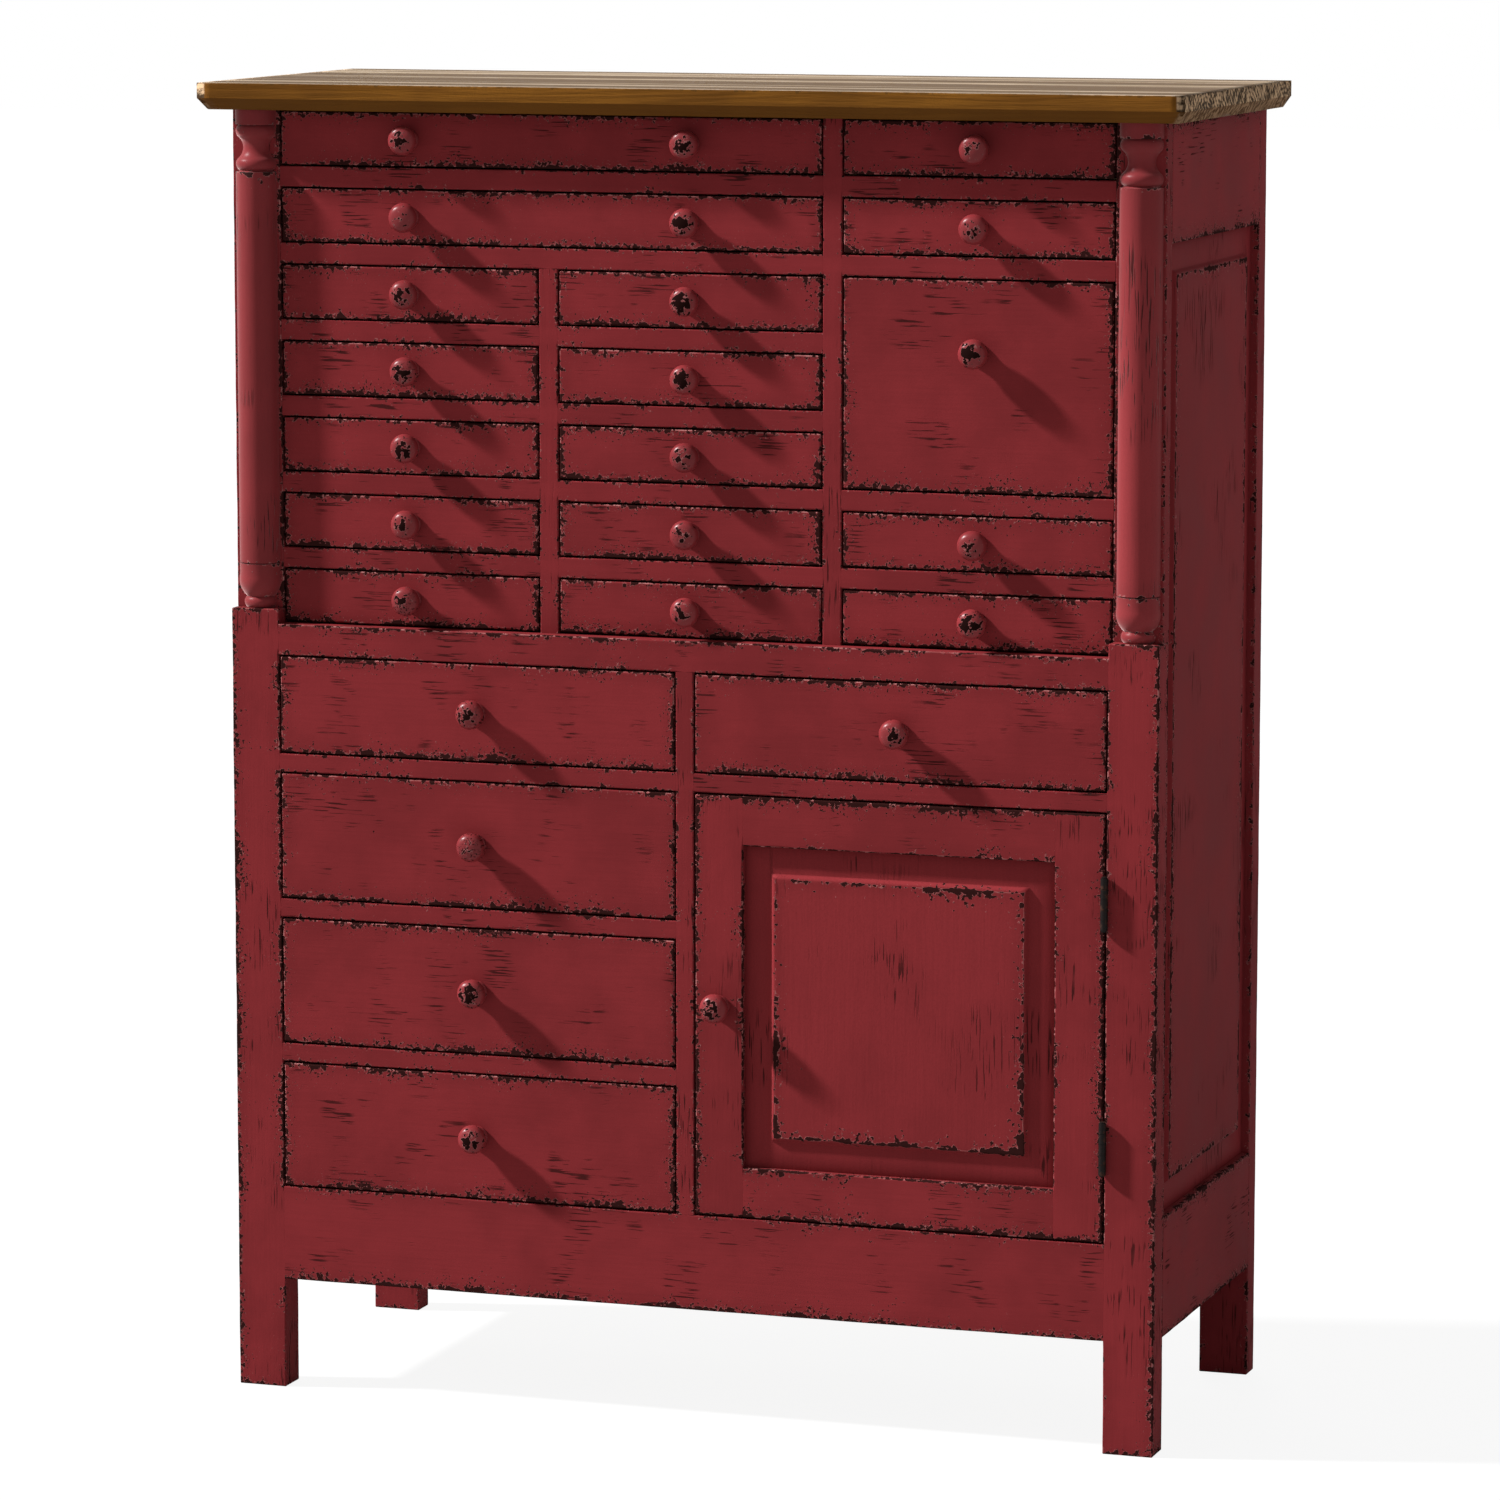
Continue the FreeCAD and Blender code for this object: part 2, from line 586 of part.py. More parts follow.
guide_rows = {
    "upper_left": (mirrored(outer_guide), upper_row, (1, 2, 3, 4, 5, 6, 7)),
    "upper_right": (outer_guide, upper_row, (1, 2, 5, 6, 7)),
    "lower_left": (mirrored(outer_guide), lower_row, (1, 2, 3, 4)),
    "lower_right": (outer_guide, lower_row, (1,)),
}
for name, (span, rows_of, rows) in guide_rows.items():
    for row in rows:
        add_guide(f"{name}_{row}", span, rows_of(row)[0])
node("drawer_runners", runners)

# Knobs and drawers

knob = turning("knob", (
    ("0", "0", None),
    ("Size.knob_foot_radius", "0", None),
    ("Size.knob_foot_radius", "Size.knob_foot_height", None),
    ("Size.knob_neck_radius", "Size.knob_neck_height", "Size.knob_foot_radius + Size.knob_neck_height / 2"),
    ("Size.knob_radius", "Size.knob_widest", "Size.knob_radius / 3"),
    ("Size.knob_face_radius", "Size.knob_length - Size.knob_face_rise", "Size.knob_shoulder"),
    ("0", "Size.knob_length", "0"),
))


def add_knob(name, x, face, z):
    """A knob standing on a front board, its axis square to the board."""
    link = doc.addObject("App::Link", name)
    link.LinkedObject = knob
    move_to(link, x, face, z, Rotation(Vector(1, 0, 0), 90))
    return link


def drawer(name, x, z, face, knob_places, knob_height=None):
    """A drawer in the opening x by z: a front board with its knobs, and a box on the runners."""
    front_x = (f"{x[0]} + Size.front_gap", f"{x[1]} - Size.front_gap")
    front_z = (f"{z[0]} + Size.front_gap", f"{z[1]} - Size.front_gap")
    front_back = f"{face} + Size.front_thickness"
    front = [board(f"{name}_front_board", front_x, (face, front_back), front_z)]
    for number, knob_x in enumerate(knob_places, start=1):
        front.append(add_knob(f"{name}_knob_{number}", knob_x, face, knob_height or middle(z)))
    node(f"{name}_front", front)

    outer = (f"{x[0]} + Size.box_side_clearance", f"{x[1]} - Size.box_side_clearance")
    inner = (f"{outer[0]} + Size.box_side", f"{outer[1]} - Size.box_side")
    depth = (front_back, "Place.box_rear")
    side_z = (f"{z[0]} + Size.running_clearance", f"{z[1]} - Size.box_top_clearance")
    bottom = f"{side_z[0]} + Size.box_bottom_rise"
    bottom_z = (bottom, f"{bottom} + Size.box_bottom")
    back_y = ("Place.box_rear - Size.box_back", "Place.box_rear")
    node(f"{name}_box", [
        board(f"{name}_left_side", (outer[0], inner[0]), depth, side_z),
        board(f"{name}_right_side", (inner[1], outer[1]), depth, side_z),
        board(f"{name}_back", inner, back_y, (bottom_z[1], side_z[1])),
        board(f"{name}_bottom", inner, depth, bottom_z),
    ])


for row in (1, 2):
    drawer(f"wide_drawer_{row}", wide_bay, upper_row(row), "Place.upper_face",
           (middle(left_bay), middle(middle_bay)))
for row in (3, 4, 5, 6, 7):
    drawer(f"left_drawer_{row}", left_bay, upper_row(row), "Place.upper_face", (middle(left_bay),))
    drawer(f"middle_drawer_{row}", middle_bay, upper_row(row), "Place.upper_face", (middle(middle_bay),))
for row in (1, 2, 6, 7):
    drawer(f"right_drawer_{row}", right_bay, upper_row(row), "Place.upper_face", (middle(right_bay),))
deep_rows = (upper_row(5)[0], upper_row(3)[1])
drawer("deep_drawer", right_bay, deep_rows, "Place.upper_face", (middle(right_bay),),
       f"{deep_rows[1]} - Size.deep_knob_drop")
for row in range(1, LOWER_ROWS + 1):
    drawer(f"lower_left_drawer_{row}", lower_left_bay, lower_row(row), "Place.lower_face",
           (middle(lower_left_bay),))
drawer("lower_right_drawer", lower_right_bay, lower_row(1), "Place.lower_face", (middle(lower_right_bay),))

# Door

door_depth = ("Place.lower_face", "Place.lower_face + Size.door_thickness")
door_height = ("Place.door_bottom", "Place.door_top")
door_inner_x = ("Place.door_left + Size.door_frame_width", "Place.door_right - Size.door_frame_width")
door_inner_z = ("Place.door_bottom + Size.door_frame_width", "Place.door_top - Size.door_frame_width")
door_left_stile = ("Place.door_left", door_inner_x[0])
node("door_frame", [
    board("door_stile_left", door_left_stile, door_depth, door_height),
    board("door_stile_right", (door_inner_x[1], "Place.door_right"), door_depth, door_height),
    board("door_rail_bottom", door_inner_x, door_depth, ("Place.door_bottom", door_inner_z[0])),
    board("door_rail_top", door_inner_x, door_depth, (door_inner_z[1], "Place.door_top")),
    add_knob("door_knob", middle(door_left_stile), "Place.lower_face", middle(door_height)),
])
door_panel = raised_panel(
    "door_panel_board",
    f"({door_inner_x[1]}) - ({door_inner_x[0]})",
    f"({door_inner_z[1]}) - ({door_inner_z[0]})",
)
move_to(door_panel, middle(door_inner_x), "Place.lower_face + Place.panel_back", middle(door_inner_z),
        Rotation(Vector(1, 0, 0), 90))
node("door_panel", [door_panel])

# Hinges

hinge_middles = {
    "upper": "Place.door_top - Size.upper_hinge_drop",
    "lower": "Place.door_bottom + Size.lower_hinge_rise",
}
frame_leaf_x = ("Place.hinge_x + Size.leaf_clearance / 2", "Place.opening_half")
door_leaf_x = ("Place.door_right", "Place.hinge_x - Size.leaf_clearance / 2")
leaf_y = ("Place.lower_face", "Place.lower_face + Size.leaf_depth")
tab_y = ("Place.hinge_y", "Place.lower_face")
hinge_axis = ("Place.hinge_x", "Place.hinge_y")


def hinge_ends(centre):
    """Lower and upper end of a hinge."""
    return f"{centre} - Size.hinge_length / 2", f"{centre} + Size.hinge_length / 2"


def hinge_leaf(name, centre, leaf_x, knuckles):
    """A flat leaf with its share of the barrel, bored for the pin."""
    ends = hinge_ends(centre)
    pieces = [board(f"{name}_plate", leaf_x, leaf_y, ends)]
    for number in knuckles:
        start = f"{ends[0]} + {number} * Size.hinge_length / {KNUCKLES}"
        span = (f"{start} + Size.knuckle_clearance / 2",
                f"{start} + Size.hinge_length / {KNUCKLES} - Size.knuckle_clearance / 2")
        pieces.append(board(f"{name}_tab_{number}", leaf_x, tab_y, span))
        pieces.append(rod(f"{name}_knuckle_{number}", "Size.knuckle_radius", *hinge_axis, span))
    bored = doc.addObject("Part::Cut", f"{name}_leaf")
    bored.Base = fuse(f"{name}_blank", pieces)
    bored.Tool = rod(f"{name}_bore", "Size.pin_radius + Size.pin_clearance", *hinge_axis, ends)
    return bored


def hinge_pin(name, centre):
    """A pin through the barrel, with a head on each end knuckle."""
    ends = hinge_ends(centre)
    low = f"{ends[0]} + Size.knuckle_clearance / 2"
    high = f"{ends[1]} - Size.knuckle_clearance / 2"
    return fuse(name, [
        rod(f"{name}_stem", "Size.pin_radius", *hinge_axis, (low, high)),
        rod(f"{name}_foot", "Size.pin_head_radius", *hinge_axis, (f"{low} - Size.pin_head_height", low)),
        rod(f"{name}_head", "Size.pin_head_radius", *hinge_axis, (high, f"{high} + Size.pin_head_height")),
    ])


frame_leaves = []
door_leaves = []
pins = []
for name, centre in hinge_middles.items():
    frame_leaves.append(hinge_leaf(f"{name}_frame", centre, frame_leaf_x, range(0, KNUCKLES, 2)))
    door_leaves.append(hinge_leaf(f"{name}_door", centre, door_leaf_x, range(1, KNUCKLES, 2)))
    pins.append(hinge_pin(f"{name}_pin", centre))
node("hinge_frame_leaves", frame_leaves)
node("hinge_door_leaves", door_leaves)
node("hinge_pins", pins)

# Test every object, then write the sub-parts

doc.recompute()
failed = [item.Label for item in doc.Objects if "Invalid" in item.State or "Error" in item.State]
failed += [group.Label for group in nodes if group.Shape.isNull() or not group.Shape.isValid()]
if failed:
    raise RuntimeError("These did not build: " + ", ".join(failed))
for sawn in (item for item in doc.Objects if item.Name.startswith("half_column_")):
    if sawn.Shape.Volume > sawn.Base.Shape.Volume / 2:
        raise RuntimeError(sawn.Label + " still has its back")

os.makedirs("parts", exist_ok=True)
for group in nodes:
    group.Shape.exportStep(os.path.join("parts", group.Label + ".step"))
whole = Part.makeCompound([group.Shape for group in nodes])
print(len(nodes), "nodes,", len(whole.Solids), "solids,", whole.BoundBox)
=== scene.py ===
import math
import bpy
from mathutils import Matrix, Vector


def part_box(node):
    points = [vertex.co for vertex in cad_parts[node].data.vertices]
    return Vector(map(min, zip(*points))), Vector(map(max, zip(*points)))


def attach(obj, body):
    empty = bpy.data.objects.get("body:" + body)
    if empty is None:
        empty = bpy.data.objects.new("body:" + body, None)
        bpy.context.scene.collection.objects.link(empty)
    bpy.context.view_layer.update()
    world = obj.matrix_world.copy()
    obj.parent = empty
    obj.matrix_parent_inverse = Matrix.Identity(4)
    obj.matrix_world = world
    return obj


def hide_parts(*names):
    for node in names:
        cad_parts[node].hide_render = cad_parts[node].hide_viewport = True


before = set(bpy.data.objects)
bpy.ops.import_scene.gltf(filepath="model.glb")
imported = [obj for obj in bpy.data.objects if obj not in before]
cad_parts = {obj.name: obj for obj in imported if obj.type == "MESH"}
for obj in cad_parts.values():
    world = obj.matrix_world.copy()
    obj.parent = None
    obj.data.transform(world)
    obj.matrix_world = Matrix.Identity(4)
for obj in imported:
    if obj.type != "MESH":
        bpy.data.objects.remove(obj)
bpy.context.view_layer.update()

import zlib
from collections import namedtuple
from functools import partialmethod

import bpy
import numpy as np
from mathutils import Vector

bl_info = {
    "name": "Multi-drawer chest",
    "version": (1, 0, 0),
    "blender": (4, 5, 0),
    "location": "View3D > Sidebar > Chest",
    "description": "Dresses a tall chest of many drawers in worn red paint under a plank top",
    "category": "Object",
}

X, Y, Z = 0, 1, 2

# Fineness: steps in an eased corner, round a turning and along an arc of its outline, the least bend of a
# sharp edge, how much coarser hidden boards are, and a length that counts as none
CORNER_STEPS = 3
TURN_STEPS = 40
ARC_STEPS = 8
SHARP_EDGE = math.radians(32)
COARSE = 4
TINY = 1e-9

# Easing of edges: the least, the share that is left where two boards butt, the limits of its wandering, and
# the points over which the wandering of an edge and of a raised field's edge is evened out
LEAST_EASE = 0.00005
BUTTED_EASE = 0.08
EASE_LIMITS = (0.55, 1.45)
EASE_REACH = 5
WOBBLE_REACH = 7

# Wear of edges, from 0 where boards butt to 1 where hands and feet reach; a front's upper edge is spared some
# Wear above 0.85 also lets the pale line along an edge show, which is partly painted highlight
FULL_WEAR = 1.0
LEG_WEAR = 0.95
WAIST_WEAR = 0.92
LEG_TOP_WEAR = 0.9
REAR_WEAR = 0.86
LIGHT_WEAR = 0.85
KNOB_WEAR = 1.04
UPPER_SPARED = 0.06

# Where wear holds: near and at an edge, its fading, the start of a leg's outer part, and a level below it all
NEAR_EDGE = 0.004
AT_EDGE = 0.002
WEAR_FADE = (0.001, 0.005)
OUTER_START = 0.01
BELOW_FLOOR = -1.0

# Rim distances: growth down a panel's slope, over a knob's face and shoulder, and the start at its neck
SLOPE_RIM = 5.0
FACE_RIM = 0.60
SHOULDER_RIM = 1.3
NECK_RIM = 0.010

DRAWER_COLUMNS = {
    "wide": ["wide_drawer_1", "wide_drawer_2"],
    "left": [f"left_drawer_{row}" for row in range(3, 8)],
    "middle": [f"middle_drawer_{row}" for row in range(3, 8)],
    "right": ["right_drawer_1", "right_drawer_2", "deep_drawer", "right_drawer_6", "right_drawer_7"],
    "lower_left": [f"lower_left_drawer_{row}" for row in range(1, 5)],
    "lower_right": ["lower_right_drawer"],
}
DRAWERS = [name for column in DRAWER_COLUMNS.values() for name in column]


# Sizes, colours and stage values that a user can change

def length(name, description, default):
    """A property in metres."""
    return bpy.props.FloatProperty(name=name, description=description, default=default, unit="LENGTH",
                                   precision=4)


def share(name, description, default):
    """A plain number property."""
    return bpy.props.FloatProperty(name=name, description=description, default=default, precision=3)


def angle(name, description, degrees):
    """An angle property."""
    return bpy.props.FloatProperty(name=name, description=description, default=math.radians(degrees),
                                   subtype="ANGLE")


def direction(name, description, default):
    """A property that points along a direction."""
    return bpy.props.FloatVectorProperty(name=name, description=description, default=default,
                                         subtype="DIRECTION")


def colour(name, description, default):
    """A colour property, in linear values."""
    return bpy.props.FloatVectorProperty(name=name, description=description, subtype="COLOR", size=4, min=0.0,
                                         max=1.0, default=(*default, 1.0))


def edge_of(node, end, axis):
    """One coordinate of a node's lowest (0) or highest (1) corner."""
    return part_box(node)[end][axis]


class ChestSizes(bpy.types.PropertyGroup):
    """Sizes of the visible pieces; places that the frame knows are read from it."""

    body_half: length("Body half width", "Middle to the outside of a leg", edge_of("legs", 1, X))
    opening_half: length("Opening half width", "Middle to the inside of a leg",
                         edge_of("lower_face_rails", 1, X))
    side_inner: length("Side inner", "Middle to the inside of the side rails", edge_of("case_boards", 1, X))
    lower_face: length("Lower face", "Front of the lower part", edge_of("lower_face_rails", 0, Y))
    upper_face: length("Upper face", "Front of the upper part", edge_of("upper_face_rails", 0, Y))
    frame_back: length("Frame back", "Back of the front legs and rails", edge_of("upper_face_rails", 1, Y))
    back_front: length("Back front", "Front of the rear legs and the back", edge_of("back_panel", 0, Y))
    rear_face: length("Rear face", "Back of the chest", edge_of("legs", 1, Y))
    foot_clearance: length("Foot clearance", "Floor to the apron", edge_of("lower_face_rails", 0, Z))
    waist_top: length("Waist top", "Top of the waist rail", edge_of("lower_face_rails", 1, Z))
    leg_top: length("Leg top", "Top of the front legs", edge_of("half_columns", 0, Z))
    top_underside: length("Top underside", "Underside of the top", edge_of("half_columns", 1, Z))
    front_gap: length("Front gap", "Gap round a drawer front and the door", 0.002)
    board_ease: length("Board ease", "Rounding of a drawer front's worn edges", 0.0019)
    rail_ease: length("Rail ease", "Rounding of a rail's and a leg's edges", 0.0013)
    joint_ease: length("Joint ease", "Rounding where two boards butt", 0.00015)
    board_step: length("Board step", "Spacing of the sections along a board", 0.008)
    deck_thickness: length("Deck thickness", "Bottom board and waist deck", 0.018)
    back_rail_height: length("Back rail height", "Rails across the back", 0.080)
    back_board: length("Back board", "Width of one board of the back", 0.094)
    back_groove: length("Back groove", "Rounding at the joint between two boards of the back", 0.003)
    box_side: length("Box side", "Thickness of a drawer's sides and back", 0.010)
    box_bottom: length("Box bottom", "Thickness of a drawer's bottom", 0.005)
    box_bottom_rise: length("Box bottom rise", "Drawer bottom above the lower edge of its sides", 0.006)
    top_planks: bpy.props.IntProperty(name="Top planks", description="Planks of the top", default=4, min=1)
    top_bevel_drop: length("Top bevel drop", "Height of the bevel under the top's edge", 0.0125)
    top_bevel_inset: length("Top bevel inset", "Depth of the bevel under the top's edge", 0.009)
    plank_ease_least: length("Plank ease least", "Least rounding of a plank's edges", 0.0006)
    plank_ease_most: length("Plank ease most", "Greatest rounding of a plank's edges", 0.0022)
    bevel_ease: length("Bevel ease", "Rounding of the edge over the front bevel", 0.0004)
    panel_margin: length("Panel margin", "Flat margin round a raised field", 0.030)
    field_rise: length("Field rise", "Raised field above its margin", 0.005)
    field_shoulder: length("Field shoulder", "Width of the sloped edge of a raised field", 0.004)
    field_wobble: length("Field wobble", "Unevenness of a raised field's edge", 0.0006)
    field_reach: length("Field reach", "How far in from its edge a raised field has sections", 0.06)
    deep_knob_drop: length("Deep knob drop", "Deep drawer's knob below the top of its front", 0.076)


class KnobSizes(bpy.types.PropertyGroup):
    """Outline of the turned knobs, along their axis from the board."""

    length: length("Length", "Knob in front of its board", 0.027)
    radius: length("Radius", "Knob head", 0.016)
    foot_radius: length("Foot radius", "Foot on the board", 0.012)
    foot_height: length("Foot height", "Collar of the foot", 0.0025)
    neck_radius: length("Neck radius", "Narrowest part", 0.010)
    neck_height: length("Neck height", "Narrowest part above the board", 0.0075)
    widest: length("Widest", "Widest part above the board", 0.0165)
    face_radius: length("Face radius", "Gently domed face", 0.010)
    face_rise: length("Face rise", "Dome of the face", 0.0018)
    shoulder: length("Shoulder", "Centre of the rounded shoulder from the axis", 0.0066)
    tip: length("Tip", "Radius of the tiny flat that closes the face", 0.0004)


class ColumnSizes(bpy.types.PropertyGroup):
    """Outline of the half columns, from the leg up."""

    radius: length("Radius", "Shaft", 0.024)
    inset: length("Inset", "Axis behind the upper face", 0.004)
    foot_bead_radius: length("Foot bead radius", "Foot bead where it meets the leg", 0.016)
    foot_bead_height: length("Foot bead height", "Bead at the foot", 0.0125)
    cup_height: length("Cup height", "Cup above the foot bead", 0.036)
    cup_base_radius: length("Cup base radius", "Lower end of the cup", 0.0165)
    cup_rim_height: length("Cup rim height", "Upright rim of the cup", 0.012)
    groove_height: length("Groove height", "Groove at each end of the shaft", 0.0015)
    groove_depth: length("Groove depth", "Groove at each end of the shaft", 0.002)
    head_bead_height: length("Head bead height", "Each of the two beads at the head", 0.014)
    head_bead_radius: length("Head bead radius", "Head bead at its edges", 0.020)
    cove_height: length("Cove height", "Cove between the head beads", 0.0215)
    block_height: length("Block height", "Block at the head", 0.0165)
    step: length("Step", "Spacing of the sections along the shaft", 0.02)


class ChestFinish(bpy.types.PropertyGroup):
    """Colours and wear of the finishes."""

    red: colour("Red paint", "Paint where it is clean", (0.224, 0.0265, 0.0305))
    # Deep red also paints the shade toward worn edges beside the gaps
    deep_red: colour("Deep red", "Paint where glaze has gathered", (0.142, 0.0180, 0.0205))
    # Pale pink for worn paint edges, partly painted highlight on edges that catch the light
    paint_edge: colour("Paint edge", "Broken edge of the paint beside a chip", (0.50, 0.250, 0.235))
    chip: colour("Chip", "Dark wood in a chip", (0.026, 0.0078, 0.0072))
    # A darker copy of the chip colour: painted shade for the knobs' chips, which catch more light than the
    # boards' chips
    knob_chip: colour("Knob chip", "Dark wood in a chip on a knob", (0.0120, 0.0040, 0.0036))
    chip_width: length("Chip width", "How far chips reach in from an edge", 0.0110)
    streaks: share("Streaks", "Strength of the dry-brush streaks", 0.84)
    varnish: colour("Varnish", "Golden varnish on the top's edge", (0.205, 0.083, 0.0122))
    # Dark varnish also paints the shade on the top's surfaces that face down
    varnish_dark: colour("Dark varnish", "Grain of the varnished edge", (0.095, 0.037, 0.0075))
    weathered: colour("Weathered wood", "Upper surface of the top", (0.450, 0.345, 0.236))
    weathered_dark: colour("Dark weathered wood", "Grain of the top's upper surface", (0.072, 0.036, 0.011))
    end_grain: colour("End grain", "Ends of the planks", (0.540, 0.360, 0.215))
    end_grain_dark: colour("Dark end grain", "Saw marks on the ends of the planks", (0.045, 0.027, 0.015))
    pine: colour("Bare pine", "Drawer boxes and inside", (0.400, 0.270, 0.150))
    pine_dark: colour("Pine grain", "Late wood of the bare pine", (0.250, 0.140, 0.062))
    iron: colour("Iron", "Aged iron of the hinges", (0.010, 0.0075, 0.007))
    iron_rust: colour("Rust", "Rust on the hinges", (0.045, 0.018, 0.011))


class ChestStage(bpy.types.PropertyGroup):
    """Camera, lamps and floor."""

    camera_place: bpy.props.FloatVectorProperty(
        name="Camera place", description="Where the camera stands", subtype="TRANSLATION", unit="LENGTH",
        default=(2.3070, -6.7376, 1.7127))
    camera_turn: angle("Camera turn", "Camera's turn to the left of straight ahead", 18.858)
    camera_dip: angle("Camera dip", "How far the camera looks down", 8.028)
    focal_share: share("Focal share", "Focal length as a share of the picture's width", 6535.1 / 1500)
    sensor_width: share("Sensor width", "Camera's sensor in millimetres", 36.0)
    view_end: length("View end", "How far the camera sees", 200.0)
    key_travel: direction("Key travel", "Direction in which the key light travels", (1.0, 0.26, -0.80))
    key_strength: share("Key strength", "Sun strength of the key light", 7.2)
    key_angle: angle("Key angle", "Angle that the key light fills", 4.0)
    rear_travel: direction("Rear travel", "Direction in which the rear light travels", (0.35, -0.85, -0.5))
    rear_strength: share("Rear strength", "Sun strength of the light behind the chest", 1.1)
    rear_angle: angle("Rear angle", "Angle that the rear light fills", 30.0)
    room_strength: share("Room strength", "Strength of the even light from all round", 0.34)
    floor_half: length("Floor half width", "Middle of the floor to its edge", 30.0)
    floor_colour: colour("Floor", "Floor as the chest is lit by it", (0.40, 0.39, 0.38))
    floor_shade: colour("Floor shade", "What the camera sees of the light on the floor", (0.08, 0.08, 0.08))
    floor_glow: share("Floor glow", "White that the camera sees in the floor besides its own light", 0.90)


# Surfaces

Surface = namedtuple("Surface", "points quads caps marks")
Edges = namedtuple("Edges", "ease end_ease step")

# Limit of a board's own offset, and what a covered board's half size is marked longer by
OFFSET_REACH = 40.0
COVERED_REACH = 1.0


def seeded(name):
    """The same random numbers for a piece in each run."""
    return np.random.default_rng(zlib.crc32(name.encode()))


def smoothstep(low, high, value):
    """0 below low, 1 above high, and 3t^2 - 2t^3 between them."""
    t = np.clip((value - low) / (high - low), 0.0, 1.0)
    return t * t * (3.0 - 2.0 * t)


def wander(rng, rows, columns, least, most, reach=EASE_REACH):
    """Random numbers between two limits, evened out along the rows by a running mean."""
    raw = rng.uniform(least, most, (rows + reach - 1, columns))
    kernel = np.ones(reach) / reach
    even = np.stack([np.convolve(raw[:, column], kernel, mode="valid") for column in range(columns)], axis=1)
    middle = (least + most) / 2
    return middle + (even - middle) * math.sqrt(reach)


def eased_ring(corners, ease):
    """A polygon with eased corners: each corner is a parabola from one side to the next.

    corners is (rows, n, 2) and ease (rows, n), the distance from a corner at which its parabola starts.
    A point is (1-t)^2 start + 2t(1-t) corner + t^2 end.
    """
    before = np.roll(corners, 1, axis=1) - corners
    after = np.roll(corners, -1, axis=1) - corners
    before /= np.linalg.norm(before, axis=-1, keepdims=True)
    after /= np.linalg.norm(after, axis=-1, keepdims=True)
    start = (corners + before * ease[..., None])[:, :, None, :]
    end = (corners + after * ease[..., None])[:, :, None, :]
    t = np.linspace(0.0, 1.0, CORNER_STEPS + 1)[None, None, :, None]
    points = (1 - t) ** 2 * start + 2 * t * (1 - t) * corners[:, :, None, :] + t ** 2 * end
    return points.reshape(len(corners), -1, 2)


def carried(rings, axis, rng, box=None, worn=FULL_WEAR, rim=None, covered=False, caps=None):
    """A closed ring carried along a path: quads between the rings, caps at both ends, and marks.

    A material reads the marks at each point: the middle, half size, grain and own offset of its board, its
    wear, and the distance to a rim, which each ring has for itself. A board whose ends butt against others is
    covered: its half size along the grain is marked longer.
    """
    rows, count = rings.shape[:2]
    row, place = np.meshgrid(np.arange(rows - 1), np.arange(count), indexing="ij")
    following = (place + 1) % count
    quads = np.stack([row * count + place, row * count + following,
                      (row + 1) * count + following, (row + 1) * count + place], axis=-1).reshape(-1, 4)
    caps = [np.arange(count)] if caps is None else caps
    ends = [cap[::-1] for cap in caps] + [cap + (rows - 1) * count for cap in caps]
    points = rings.reshape(-1, 3)
    low, high = np.asarray((points.min(0), points.max(0)) if box is None else box, float)
    grain = np.eye(3)[axis]
    of_board = {
        "board_centre": (low + high) / 2,
        "board_half": (high - low) / 2 + grain * (COVERED_REACH if covered else 0.0),
        "board_grain": grain,
        "board_offset": rng.uniform(-OFFSET_REACH, OFFSET_REACH, 3),
    }
    marks = {name: np.tile(value, (len(points), 1)) for name, value in of_board.items()}
    marks["worn"] = np.full(len(points), worn)
    marks["rim_distance"] = np.ones(len(points)) if rim is None else np.repeat(rim, count)
    return Surface(points, quads, ends, marks)


def eased_board(low, high, axis, rng, edges, covered=False, wear=None):
    """A squared board with worn edges: an eased rectangle carried along the grain.

    The easing wanders along the board, and shrinks to a small share where another board butts and nothing
    wears. Near an end the rectangle is drawn in by end_ease (1 - sin a) while it travels
    end_ease (1 - cos a), with a from 0 to a right angle, and a flat cap closes the end.
    """
    low, high = np.asarray(low, float), np.asarray(high, float)
    centre, half = (low + high) / 2, (high - low) / 2
    across, upward = (axis + 1) % 3, (axis + 2) % 3
    a = np.linspace(0.0, math.pi / 2, CORNER_STEPS + 1)[:-1]
    rows = max(2, int(round(2 * half[axis] / edges.step)))
    run = np.linspace(edges.end_ease - half[axis], half[axis] - edges.end_ease, rows)
    travel = edges.end_ease * (1 - np.cos(a)) - half[axis]
    along = np.concatenate([travel, run, -travel[::-1]])
    draw = edges.end_ease * (1 - np.sin(a))
    inset = np.concatenate([draw, np.zeros(rows), draw[::-1]])
    reach = np.stack([half[across] - inset, half[upward] - inset], axis=-1)
    hands = np.array([[1, -1], [1, 1], [-1, 1], [-1, -1]])
    corners = reach[:, None, :] * hands[None]

    def placed(section):
        rings = np.empty((*section.shape[:2], 3))
        rings[..., axis] = along[:, None] + centre[axis]
        rings[..., across] = section[..., 0] + centre[across]
        rings[..., upward] = section[..., 1] + centre[upward]
        return rings

    radius = edges.ease * wander(rng, len(along), len(hands), *EASE_LIMITS)
    if wear is not None:
        edge_wear = wear(placed(corners).reshape(-1, 3)).reshape(radius.shape)
        radius *= BUTTED_EASE + (1.0 - BUTTED_EASE) * smoothstep(0.0, LIGHT_WEAR, edge_wear)
    radius = np.maximum(radius - inset[:, None], LEAST_EASE)
    rings = placed(eased_ring(corners, radius))
    worn = FULL_WEAR if wear is None else wear(rings.reshape(-1, 3))
    return carried(rings, axis, rng, (low, high), worn, covered=covered)


